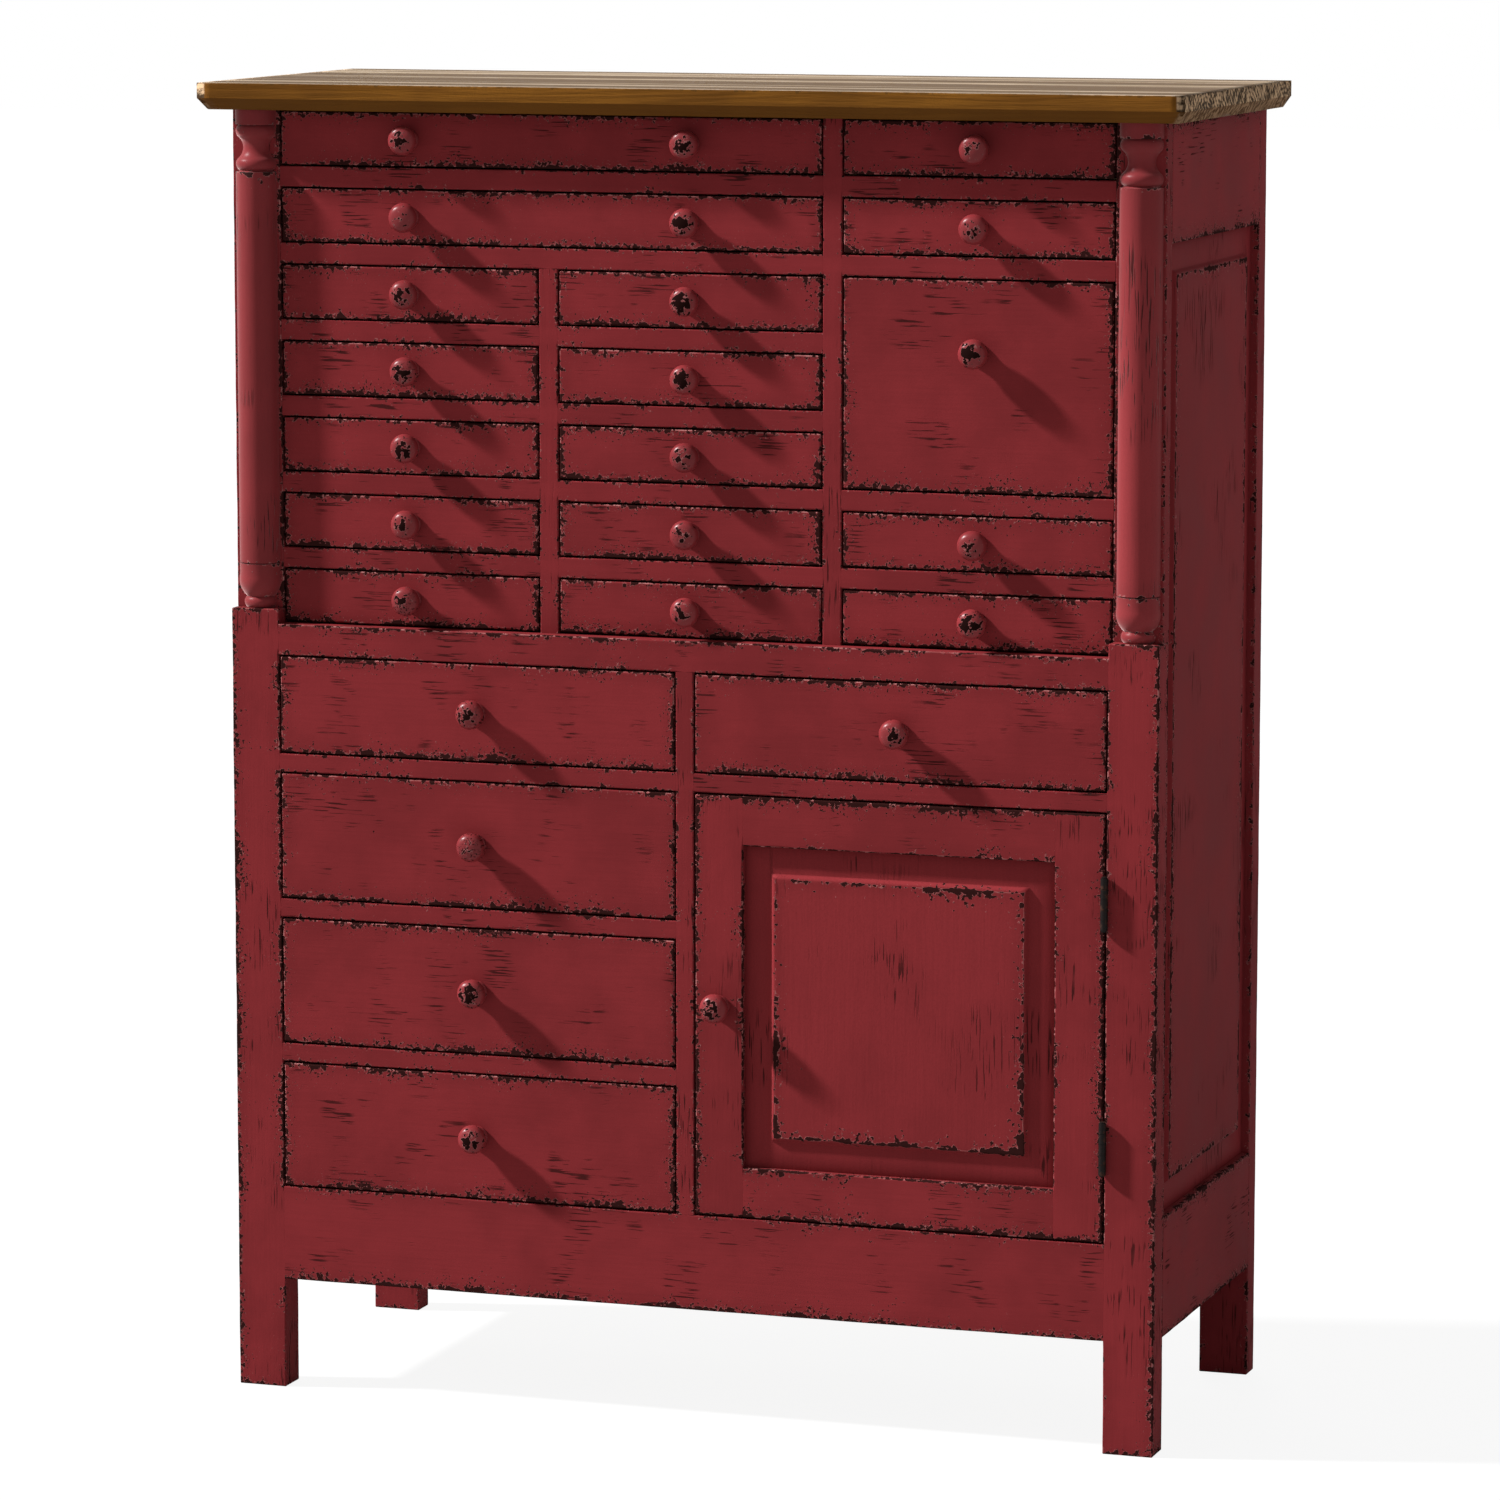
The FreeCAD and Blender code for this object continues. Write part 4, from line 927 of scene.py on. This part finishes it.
def iron_material(name):
    """Dark aged iron with rust in patches."""
    made = Surfacing(name, IRON_SPECULAR)
    g, finish = made.g, made.finish
    rust = g.step(g.noise(made.position, 130.0, 4.0, 0.65), 0.52, 0.68)
    pits = g.noise(made.position, 900.0, 3.0, 0.6)
    colour = g.mix(rust, finish.iron[:], finish.iron_rust[:])
    rough = g.times_plus(rust, 0.3, g.times_plus(pits, 0.2, 0.38))
    g.feed(made.shader.inputs["Metallic"], g.step(rust, 0.0, 1.0, 0.3, 0.05))
    return made.done(colour, rough, pits, IRON_RELIEF)


def kept_material(name, build, *values):
    """The material of that name, built the first time that it is asked for."""
    return bpy.data.materials.get(name) or build(name, *values)


def painted(name, surfaces, kind, body, *nodes):
    """A piece in the worn red paint of its kind, instead of nodes of the frame."""
    look = PAINT_LOOKS[kind]
    material = kept_material(f"worn_red_{kind}", paint_material, look)
    new_piece(name, surfaces, material, body, nodes, look.turned)


def bare(name, boards, body, node):
    """A piece in bare pine, instead of a node of the frame."""
    new_piece(name, boards, kept_material("bare_pine", pine_material), body, [node])


# Operators, one for each piece or group of like pieces

class CHEST_OT_legs(bpy.types.Operator):
    """Front legs, rear legs and upper corner stiles in worn red paint"""

    bl_idname = "chest.legs"
    bl_label = "Legs and stiles"

    def execute(self, context):
        s = context.scene.chest_sizes
        rng = seeded(self.bl_idname)
        outside = s.opening_half + OUTER_START
        free = [
            (Z, -1, NEAR_EDGE, FULL_WEAR),
            (Z, 1, s.leg_top - AT_EDGE, LEG_TOP_WEAR),
            (X, 1, outside, FULL_WEAR),
            (X, -1, -outside, FULL_WEAR),
            (Z, -1, s.foot_clearance - NEAR_EDGE, LIGHT_WEAR),
        ]
        beside = wear_beside(all_openings(s.front_gap), free, LEG_WEAR)
        lightly = wear_beside(all_openings(s.front_gap), [(Z, 1, BELOW_FLOOR, REAR_WEAR)])
        leg_edges = Edges(s.rail_ease, s.rail_ease, s.board_step)
        stile_edges = Edges(s.rail_ease, s.joint_ease, s.board_step)
        legs, stiles = [], []
        for hand in (-1, 1):
            left, right = sorted((hand * s.opening_half, hand * s.body_half))
            legs.append(eased_board((left, s.lower_face, 0.0), (right, s.frame_back, s.leg_top), Z, rng,
                                    leg_edges, wear=beside))
            legs.append(eased_board((left, s.back_front, 0.0), (right, s.rear_face, s.top_underside), Z, rng,
                                    leg_edges, wear=lightly))
            stiles.append(eased_board((left, s.upper_face, s.leg_top), (right, s.frame_back, s.top_underside),
                                      Z, rng, stile_edges, True, lightly))
        painted("painted_legs", legs, "boards", "carcass", "legs")
        painted("painted_corner_stiles", stiles, "boards", "carcass", "upper_corner_stiles")
        return {"FINISHED"}


def column_rows(c, height):
    """Foot bead, cup, grooved shaft, then a cove between two beads and a block, from the leg up.

    The arc of a bead has its centre a third of its height inside its edges; a cove is half round.
    """
    cup_top = c.foot_bead_height + c.cup_height
    groove = c.radius - c.groove_depth
    block = height - c.block_height
    cove_top = block - c.head_bead_height
    cove_start = cove_top - c.cove_height
    bead = cove_start - c.head_bead_height
    head_centre = c.head_bead_radius - c.head_bead_height / 3
    shaft_end = bead - c.groove_height
    return [
        (c.foot_bead_radius, 0.0, None),
        (c.foot_bead_radius, c.foot_bead_height, c.foot_bead_radius - c.foot_bead_height / 3),
        (c.cup_base_radius, c.foot_bead_height, None),
        (c.radius, cup_top - c.cup_rim_height, 0.0),
        (c.radius, cup_top, None),
        (groove, cup_top, None),
        (groove, cup_top + c.groove_height, None),
        (c.radius, cup_top + c.groove_height, None),
        (c.radius, shaft_end, None),
        (groove, shaft_end, None),
        (c.head_bead_radius, bead, None),
        (c.head_bead_radius, cove_start, head_centre),
        (c.head_bead_radius, cove_top, c.head_bead_radius + c.cove_height / 2),
        (c.head_bead_radius, block, head_centre),
        (c.radius, block, None),
        (c.radius, height, None),
    ]


def half_column(centre_x, sizes, c, rng):
    """A turned column with its back sawn off: the outline carried round the axis as far as the upper face.

    A point at radius r and share s of the sweep is (r sin a, -r cos a) from the axis, with
    a = s acos(inset / r).
    """
    height = sizes.top_underside - sizes.leg_top
    radius, level, rim = turned_outline(split_runs(column_rows(c, height), c.step))
    sweep = np.linspace(-1.0, 1.0, TURN_STEPS + 1)
    a = np.arccos(c.inset / radius)[:, None] * sweep[None]
    rings = np.stack([centre_x + radius[:, None] * np.sin(a),
                      sizes.upper_face + c.inset - radius[:, None] * np.cos(a),
                      np.repeat((sizes.leg_top + level)[:, None], len(sweep), axis=1)], axis=-1)
    return carried(rings, Z, rng, worn=LIGHT_WEAR, rim=rim)


class CHEST_OT_columns(bpy.types.Operator):
    """Turned half columns on the upper corners"""

    bl_idname = "chest.columns"
    bl_label = "Half columns"

    def execute(self, context):
        s, c = context.scene.chest_sizes, context.scene.chest_columns
        rng = seeded(self.bl_idname)
        middle = (s.body_half + s.opening_half) / 2
        columns = [half_column(hand * middle, s, c, rng) for hand in (-1, 1)]
        painted("painted_half_columns", columns, "columns", "carcass", "half_columns")
        return {"FINISHED"}


class CHEST_OT_sides(bpy.types.Operator):
    """Side rails and the tall raised panels between them"""

    bl_idname = "chest.sides"
    bl_label = "Sides"

    def execute(self, context):
        s = context.scene.chest_sizes
        rng = seeded(self.bl_idname)
        edges = Edges(s.rail_ease, s.joint_ease, s.board_step)
        low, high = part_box("side_panels")
        rails, panels = [], []
        for hand in (-1, 1):
            left, right = sorted((hand * s.side_inner, hand * s.body_half))
            for bottom, top in ((s.foot_clearance, low.z), (high.z, s.top_underside)):
                low_end, high_end = (left, s.frame_back, bottom), (right, s.back_front, top)
                rails.append(eased_board(low_end, high_end, Y, rng, edges, True))
            back = self.panel_back(hand)
            thickness = high.x - s.field_rise - abs(back)
            centre = (back, (low.y + high.y) / 2, (low.z + high.z) / 2)
            panels.append(raised_panel(centre, (0.0, hand, 0.0), (hand, 0.0, 0.0), high.y - low.y,
                                       high.z - low.z, thickness, s, rng))
        painted("painted_side_rails", rails, "boards", "carcass", "side_rails")
        painted("painted_side_panels", panels, "panels", "carcass", "side_panels")
        return {"FINISHED"}

    @staticmethod
    def panel_back(hand):
        """Back of a side panel: the innermost point of the panels' mesh on that side."""
        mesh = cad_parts["side_panels"].data
        places = np.empty(len(mesh.vertices) * 3, np.float32)
        mesh.vertices.foreach_get("co", places)
        across = places.reshape(-1, 3)[:, X] * hand
        return float(hand * across[across > 0].min())


class CHEST_OT_face_frame(bpy.types.Operator):
    """Rails and uprights between the drawers, waist rail and apron"""

    bl_idname = "chest.face_frame"
    bl_label = "Face frame"

    def execute(self, context):
        s = context.scene.chest_sizes
        gap = s.front_gap
        rng = seeded(self.bl_idname)
        free = [(Z, 1, s.waist_top - AT_EDGE, WAIST_WEAR), (Z, -1, s.foot_clearance + AT_EDGE, FULL_WEAR)]
        upper_wear = wear_beside(all_openings(gap), (), LIGHT_WEAR)
        lower_wear = wear_beside(all_openings(gap), free, LIGHT_WEAR)
        bay = bays(gap)

        def member(limits, bottom, top, lower, axis):
            face, wear = (s.lower_face, lower_wear) if lower else (s.upper_face, upper_wear)
            edges = Edges(s.rail_ease, s.joint_ease, s.board_step if axis == X else s.board_step / 2)
            low, high = (limits[0], face, bottom), (limits[1], s.frame_back, top)
            return eased_board(low, high, axis, rng, edges, True, wear)

        def between(names, lower):
            spans = [opening(name, gap) for name in names]
            return [member(above[:2], below[3], above[2], lower, X) for above, below in zip(spans, spans[1:])]

        upper = between(["wide_drawer_1", "wide_drawer_2", "left_drawer_3"], False)
        for column in ("left", "middle", "right"):
            upper += between(DRAWER_COLUMNS[column], False)
        upper.append(member((bay.left[1], bay.middle[0]), s.waist_top, bay.left[3], False, Z))
        upper.append(member((bay.middle[1], bay.right[0]), s.waist_top, s.top_underside, False, Z))
        lower = between(DRAWER_COLUMNS["lower_left"], True)
        full = (-s.opening_half, s.opening_half)
        lower.append(member(full, bay.lower_left[3], s.waist_top, True, X))
        lower.append(member(full, s.foot_clearance, bay.apron_top, True, X))
        lower.append(member(bay.lower_right[:2], bay.door_top, bay.lower_right[2], True, X))
        upright = (bay.lower_left[1], bay.lower_right[0])
        lower.append(member(upright, bay.apron_top, bay.lower_left[3], True, Z))
        for part, rails in (("upper", upper), ("lower", lower)):
            painted(f"painted_{part}_rails", rails, "boards", "carcass", f"{part}_face_rails")
        return {"FINISHED"}


def top_plank(number, sizes, rng):
    """One plank of the top: an eased section carried from end to end, over a bevel under its ends.

    The section's end lies at the top's half width, less the bevel's inset times the share of the bevel's drop
    below which a point lies. The front plank has the same bevel under its front edge.
    """
    low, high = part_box("top_planks")
    width = (high.y - low.y) / sizes.top_planks
    front, back = low.y + number * width, low.y + (number + 1) * width
    bevel = low.z + sizes.top_bevel_drop
    lower_front = front + (sizes.top_bevel_inset if number == 0 else 0.0)
    corners = np.array([(lower_front, low.z), (back, low.z), (back, bevel), (back, high.z), (front, high.z),
                        (front, bevel)])
    rear_bevel, front_bevel = 2, 5
    rows = int(round((high.x - low.x) / sizes.board_step / 2))
    along = np.linspace(-1.0, 1.0, rows)
    ease = wander(rng, rows, len(corners), sizes.plank_ease_least, sizes.plank_ease_most)
    ease[:, front_bevel] = LEAST_EASE if number else sizes.bevel_ease
    ease[:, rear_bevel] = LEAST_EASE
    section = eased_ring(np.tile(corners, (rows, 1, 1)), ease)
    drop = np.clip((bevel - section[..., 1]) / sizes.top_bevel_drop, 0.0, 1.0)
    rings = np.empty((rows, section.shape[1], 3))
    rings[..., X] = along[:, None] * (high.x - sizes.top_bevel_inset * drop)
    rings[..., 1:] = section
    each = CORNER_STEPS + 1
    whole = np.arange(section.shape[1])
    rear_mid, front_mid = rear_bevel * each + 1, front_bevel * each + 1
    caps = [whole[rear_mid:front_mid + 1], np.concatenate([whole[front_mid:], whole[:rear_mid + 1]])]
    return carried(rings, X, rng, ((low.x, front, low.z), (high.x, back, high.z)), caps=caps)


class CHEST_OT_top(bpy.types.Operator):
    """Plank top, weathered above and varnished at the front"""

    bl_idname = "chest.top"
    bl_label = "Top"

    def execute(self, context):
        s = context.scene.chest_sizes
        rng = seeded(self.bl_idname)
        planks = [top_plank(number, s, rng) for number in range(s.top_planks)]
        new_piece("plank_top", planks, kept_material("plank_top_wood", top_material), "carcass",
                  ["top_planks"])
        return {"FINISHED"}


def turned_knob(x, face, z, k, rng):
    """A knob: its outline carried round an axis square to the board, with a flat foot and a tiny flat tip.

    Its rim distance grows from the middle of the face, so that the paint is gone where fingers press.
    """
    rows = [
        (k.foot_radius, 0.0, None),
        (k.foot_radius, k.foot_height, None),
        (k.neck_radius, k.neck_height, k.foot_radius + k.neck_height / 2),
        (k.radius, k.widest, k.radius / 3),
        (k.face_radius, k.length - k.face_rise, k.shoulder),
        (k.tip, k.length, 0.0),
    ]
    radius, level, _ = turned_outline(rows)
    turn = np.linspace(0.0, 2 * math.pi, TURN_STEPS, endpoint=False)
    rings = np.stack([x + radius[:, None] * np.cos(turn),
                      np.repeat((face - level)[:, None], TURN_STEPS, axis=1),
                      z + radius[:, None] * np.sin(turn)], axis=-1)
    beyond = np.maximum(radius - k.face_radius, 0.0)
    face_rim = radius * FACE_RIM + beyond * SHOULDER_RIM
    rim = np.where(level > k.widest, face_rim, NECK_RIM + (k.widest - level))
    return carried(rings, Y, rng, worn=KNOB_WEAR, rim=rim)


def wear_downward(low, high):
    """A wear function that rises from the upper to the lower edge of a drawer front, where hands pull."""
    return lambda points: FULL_WEAR - UPPER_SPARED * smoothstep(low, high, points[:, Z])


class CHEST_OT_drawer_fronts(bpy.types.Operator):
    """Drawer fronts with chipped edges, each with its turned knobs"""

    bl_idname = "chest.drawer_fronts"
    bl_label = "Drawer fronts"

    def execute(self, context):
        s, k = context.scene.chest_sizes, context.scene.chest_knobs
        edges = Edges(s.board_ease, s.board_ease, s.board_step)
        under = [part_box(f"{name}_front") for name in ("left_drawer_3", "middle_drawer_3")]
        for name in DRAWERS:
            rng = seeded(name)
            low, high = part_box(f"{name}_front")
            face = low.y + k.length
            board = eased_board((low.x, face, low.z), high, X, rng, edges, wear=wear_downward(low.z, high.z))
            board.marks["depth_share"] = (board.points[:, Y] - face) / (high.y - face)
            spans = under if name in DRAWER_COLUMNS["wide"] else [(low, high)]
            level = high.z - s.deep_knob_drop if name == "deep_drawer" else (low.z + high.z) / 2
            knobs = [turned_knob((start.x + end.x) / 2, face, level, k, rng) for start, end in spans]
            painted(f"{name}_face", [board], "boards", name, f"{name}_front")
            painted(f"{name}_knob", knobs, "knobs", name)
        return {"FINISHED"}


class CHEST_OT_drawer_boxes(bpy.types.Operator):
    """Drawer boxes of bare pine: two sides, a back and a bottom"""

    bl_idname = "chest.drawer_boxes"
    bl_label = "Drawer boxes"

    def execute(self, context):
        s = context.scene.chest_sizes
        wall = Edges(s.board_ease, s.joint_ease, COARSE * s.board_step)
        bottom = Edges(s.joint_ease, s.joint_ease, COARSE * s.board_step)
        for name in DRAWERS:
            rng = seeded(f"{name}_box")
            low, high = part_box(f"{name}_box")
            left, right = low.x + s.box_side, high.x - s.box_side
            floor = low.z + s.box_bottom_rise
            ledge = floor + s.box_bottom
            boards = [
                eased_board(low, (left, high.y, high.z), Y, rng, wall),
                eased_board((right, low.y, low.z), high, Y, rng, wall),
                eased_board((left, high.y - s.box_side, ledge), (right, high.y, high.z), X, rng, wall),
                eased_board((left, low.y, floor), (right, high.y, ledge), X, rng, bottom),
            ]
            bare(f"{name}_pine_box", boards, name, f"{name}_box")
        return {"FINISHED"}


class CHEST_OT_door(bpy.types.Operator):
    """Framed door with a raised panel and a knob"""

    bl_idname = "chest.door"
    bl_label = "Door"

    def execute(self, context):
        s, k = context.scene.chest_sizes, context.scene.chest_knobs
        rng = seeded(self.bl_idname)
        low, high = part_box("door_frame")
        inner_low, inner_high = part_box("door_panel")
        face = low.y + k.length
        free = [
            (X, -1, low.x + NEAR_EDGE, FULL_WEAR), (X, 1, high.x - NEAR_EDGE, FULL_WEAR),
            (Z, -1, low.z + NEAR_EDGE, FULL_WEAR), (Z, 1, high.z - NEAR_EDGE, FULL_WEAR),
        ]
        wear = wear_beside([(inner_low.x, inner_high.x, inner_low.z, inner_high.z)], free)
        stile_edges = Edges(s.board_ease, s.board_ease, s.board_step)
        rail_edges = Edges(s.board_ease, s.joint_ease, s.board_step)
        boards = []
        for start, end in ((low.x, inner_low.x), (inner_high.x, high.x)):
            boards.append(eased_board((start, face, low.z), (end, high.y, high.z), Z, rng, stile_edges, False,
                                      wear))
        for bottom, top in ((low.z, inner_low.z), (inner_high.z, high.z)):
            boards.append(eased_board((inner_low.x, face, bottom), (inner_high.x, high.y, top), X, rng,
                                      rail_edges, True, wear))
        knob = turned_knob((low.x + inner_low.x) / 2, face, (low.z + high.z) / 2, k, rng)
        centre = ((inner_low.x + inner_high.x) / 2, inner_high.y, (inner_low.z + inner_high.z) / 2)
        thickness = inner_high.y - inner_low.y - s.field_rise
        panel = raised_panel(centre, (1.0, 0.0, 0.0), (0.0, -1.0, 0.0), inner_high.x - inner_low.x,
                             inner_high.z - inner_low.z, thickness, s, rng)
        painted("painted_door_frame", boards, "boards", "door", "door_frame")
        painted("painted_door_panel", [panel], "panels", "door", "door_panel")
        painted("door_knob", [knob], "knobs", "door")
        return {"FINISHED"}


class CHEST_OT_hinges(bpy.types.Operator):
    """Aged iron on the door's hinges"""

    bl_idname = "chest.hinges"
    bl_label = "Hinges"

    def execute(self, context):
        iron = kept_material("aged_iron", iron_material)
        for name in ("hinge_frame_leaves", "hinge_door_leaves", "hinge_pins"):
            paint_node(name, iron)
        return {"FINISHED"}


class CHEST_OT_case(bpy.types.Operator):
    """Bare pine inside the chest: decks, partitions, runners and the boarded back"""

    bl_idname = "chest.case"
    bl_label = "Case"

    def execute(self, context):
        s = context.scene.chest_sizes
        rng = seeded(self.bl_idname)
        bay = bays(s.front_gap)
        low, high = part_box("back_panel")
        step = COARSE * s.board_step
        edges = Edges(s.rail_ease, s.joint_ease, step)
        deck = s.waist_top - s.deck_thickness
        inside, behind = (s.frame_back, s.back_front), (high.y, s.rear_face)
        across, full = (-s.side_inner, s.side_inner), (-s.opening_half, s.opening_half)
        places = [
            (across, inside, (bay.apron_top - s.deck_thickness, bay.apron_top), X),
            (across, inside, (deck, s.waist_top), X),
            ((bay.left[1], bay.middle[0]), inside, (s.waist_top, bay.left[3]), Y),
            ((bay.middle[1], bay.right[0]), inside, (s.waist_top, s.top_underside), Y),
            ((bay.lower_left[1], bay.lower_right[0]), inside, (bay.apron_top, deck), Y),
            (full, behind, (s.top_underside - s.back_rail_height, s.top_underside), X),
            (full, behind, (s.foot_clearance, s.foot_clearance + s.back_rail_height), X),
        ]
        boards = [eased_board(*zip(*limits), axis, rng, edges) for *limits, axis in places]
        bare("pine_case_boards", boards, "carcass", "case_boards")
        sides = np.linspace(low.x, high.x, int(round((high.x - low.x) / s.back_board)) + 1)
        grooved = Edges(s.back_groove, s.joint_ease, step)
        back = [eased_board((start, low.y, low.z), (end, high.y, high.z), Z, rng, grooved)
                for start, end in zip(sides, sides[1:])]
        bare("boarded_back", back, "carcass", "back_panel")
        paint_node("drawer_runners", kept_material("bare_pine_runners", pine_material, False))
        return {"FINISHED"}


def new_sun(name, travel, strength, spread):
    """A sun lamp that shines along a direction and fills an angle."""
    lamp = bpy.data.lights.new(name, "SUN")
    lamp.energy = strength
    lamp.angle = spread
    sun = bpy.data.objects.new(name, lamp)
    sun.rotation_euler = Vector(travel).to_track_quat("-Z", "Y").to_euler()
    bpy.context.scene.collection.objects.link(sun)


def seen_directly(g):
    """1 for rays that come from the camera, or that glossy and clear surfaces send on."""
    paths = g.add("ShaderNodeLightPath", {}).node.outputs
    glossy = g.larger(paths["Is Glossy Ray"], paths["Is Transmission Ray"])
    return g.larger(paths["Is Camera Ray"], glossy)


class CHEST_OT_stage(bpy.types.Operator):
    """Camera, soft studio light, pale floor and white surroundings"""

    bl_idname = "chest.stage"
    bl_label = "Stage"

    def execute(self, context):
        scene, stage = context.scene, context.scene.chest_stage
        self.camera(scene, stage)
        new_sun("key_light", stage.key_travel, stage.key_strength, stage.key_angle)
        new_sun("rear_light", stage.rear_travel, stage.rear_strength, stage.rear_angle)
        self.floor(scene, stage)
        self.surroundings(scene, stage)
        scene.view_settings.view_transform = "Standard"
        return {"FINISHED"}

    @staticmethod
    def camera(scene, stage):
        lens = bpy.data.cameras.new("camera")
        lens.sensor_width = stage.sensor_width
        lens.lens = stage.sensor_width * stage.focal_share
        lens.clip_end = stage.view_end
        camera = bpy.data.objects.new("camera", lens)
        camera.location = stage.camera_place
        camera.rotation_euler = (math.pi / 2 - stage.camera_dip, 0.0, stage.camera_turn)
        scene.collection.objects.link(camera)
        scene.camera = camera

    @staticmethod
    def floor(scene, stage):
        half = stage.floor_half
        corners = [(-half, -half, 0), (half, -half, 0), (half, half, 0), (-half, half, 0)]
        mesh = bpy.data.meshes.new("floor")
        mesh.from_pydata(corners, [], [(0, 1, 2, 3)])
        material = bpy.data.materials.new("pale_floor")
        material.use_nodes = True
        material.node_tree.nodes.clear()
        g = Graph(material.node_tree)
        plain = g.add("ShaderNodeBsdfDiffuse", {"Color": stage.floor_colour[:]})
        faint = g.add("ShaderNodeBsdfDiffuse", {"Color": stage.floor_shade[:]})
        glow = g.add("ShaderNodeEmission", {"Strength": stage.floor_glow})
        seen = g.add("ShaderNodeAddShader", {0: faint, 1: glow})
        surface = g.add("ShaderNodeMixShader", {0: seen_directly(g), 1: plain, 2: seen})
        g.add("ShaderNodeOutputMaterial", {"Surface": surface})
        mesh.materials.append(material)
        floor = bpy.data.objects.new("floor", mesh)
        scene.collection.objects.link(floor)

    @staticmethod
    def surroundings(scene, stage):
        world = bpy.data.worlds.new("studio")
        world.use_nodes = True
        world.node_tree.nodes.clear()
        g = Graph(world.node_tree)
        even, white = (g.add("ShaderNodeBackground", {"Color": (1.0, 1.0, 1.0, 1.0), "Strength": strength})
                       for strength in (stage.room_strength, 1.0))
        surface = g.add("ShaderNodeMixShader", {0: seen_directly(g), 1: even, 2: white})
        g.add("ShaderNodeOutputWorld", {"Surface": surface})
        scene.world = world


OPERATORS = (
    CHEST_OT_stage, CHEST_OT_legs, CHEST_OT_columns, CHEST_OT_sides, CHEST_OT_face_frame, CHEST_OT_top,
    CHEST_OT_drawer_fronts, CHEST_OT_drawer_boxes, CHEST_OT_door, CHEST_OT_hinges, CHEST_OT_case,
)
SETTINGS = {
    "chest_sizes": ChestSizes, "chest_knobs": KnobSizes, "chest_columns": ColumnSizes,
    "chest_finish": ChestFinish, "chest_stage": ChestStage,
}


class CHEST_PT_build(bpy.types.Panel):
    """The chest's pieces, sizes and finishes"""

    bl_idname = "CHEST_PT_build"
    bl_label = "Multi-drawer chest"
    bl_space_type = "VIEW_3D"
    bl_region_type = "UI"
    bl_category = "Chest"

    def draw(self, context):
        for operator in OPERATORS:
            self.layout.operator(operator.bl_idname)
        for setting, group in SETTINGS.items():
            box = self.layout.box()
            for name in group.__annotations__:
                box.prop(getattr(context.scene, setting), name)


def register():
    for setting, group in SETTINGS.items():
        bpy.utils.register_class(group)
        setattr(bpy.types.Scene, setting, bpy.props.PointerProperty(type=group))
    for item in (*OPERATORS, CHEST_PT_build):
        bpy.utils.register_class(item)


def unregister():
    for item in (CHEST_PT_build, *reversed(OPERATORS)):
        bpy.utils.unregister_class(item)
    for setting, group in SETTINGS.items():
        delattr(bpy.types.Scene, setting)
        bpy.utils.unregister_class(group)


def main():
    """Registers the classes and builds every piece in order."""
    register()
    for operator in OPERATORS:
        family, name = operator.bl_idname.split(".")
        getattr(getattr(bpy.ops, family), name)()


if __name__ == "__main__":
    main()
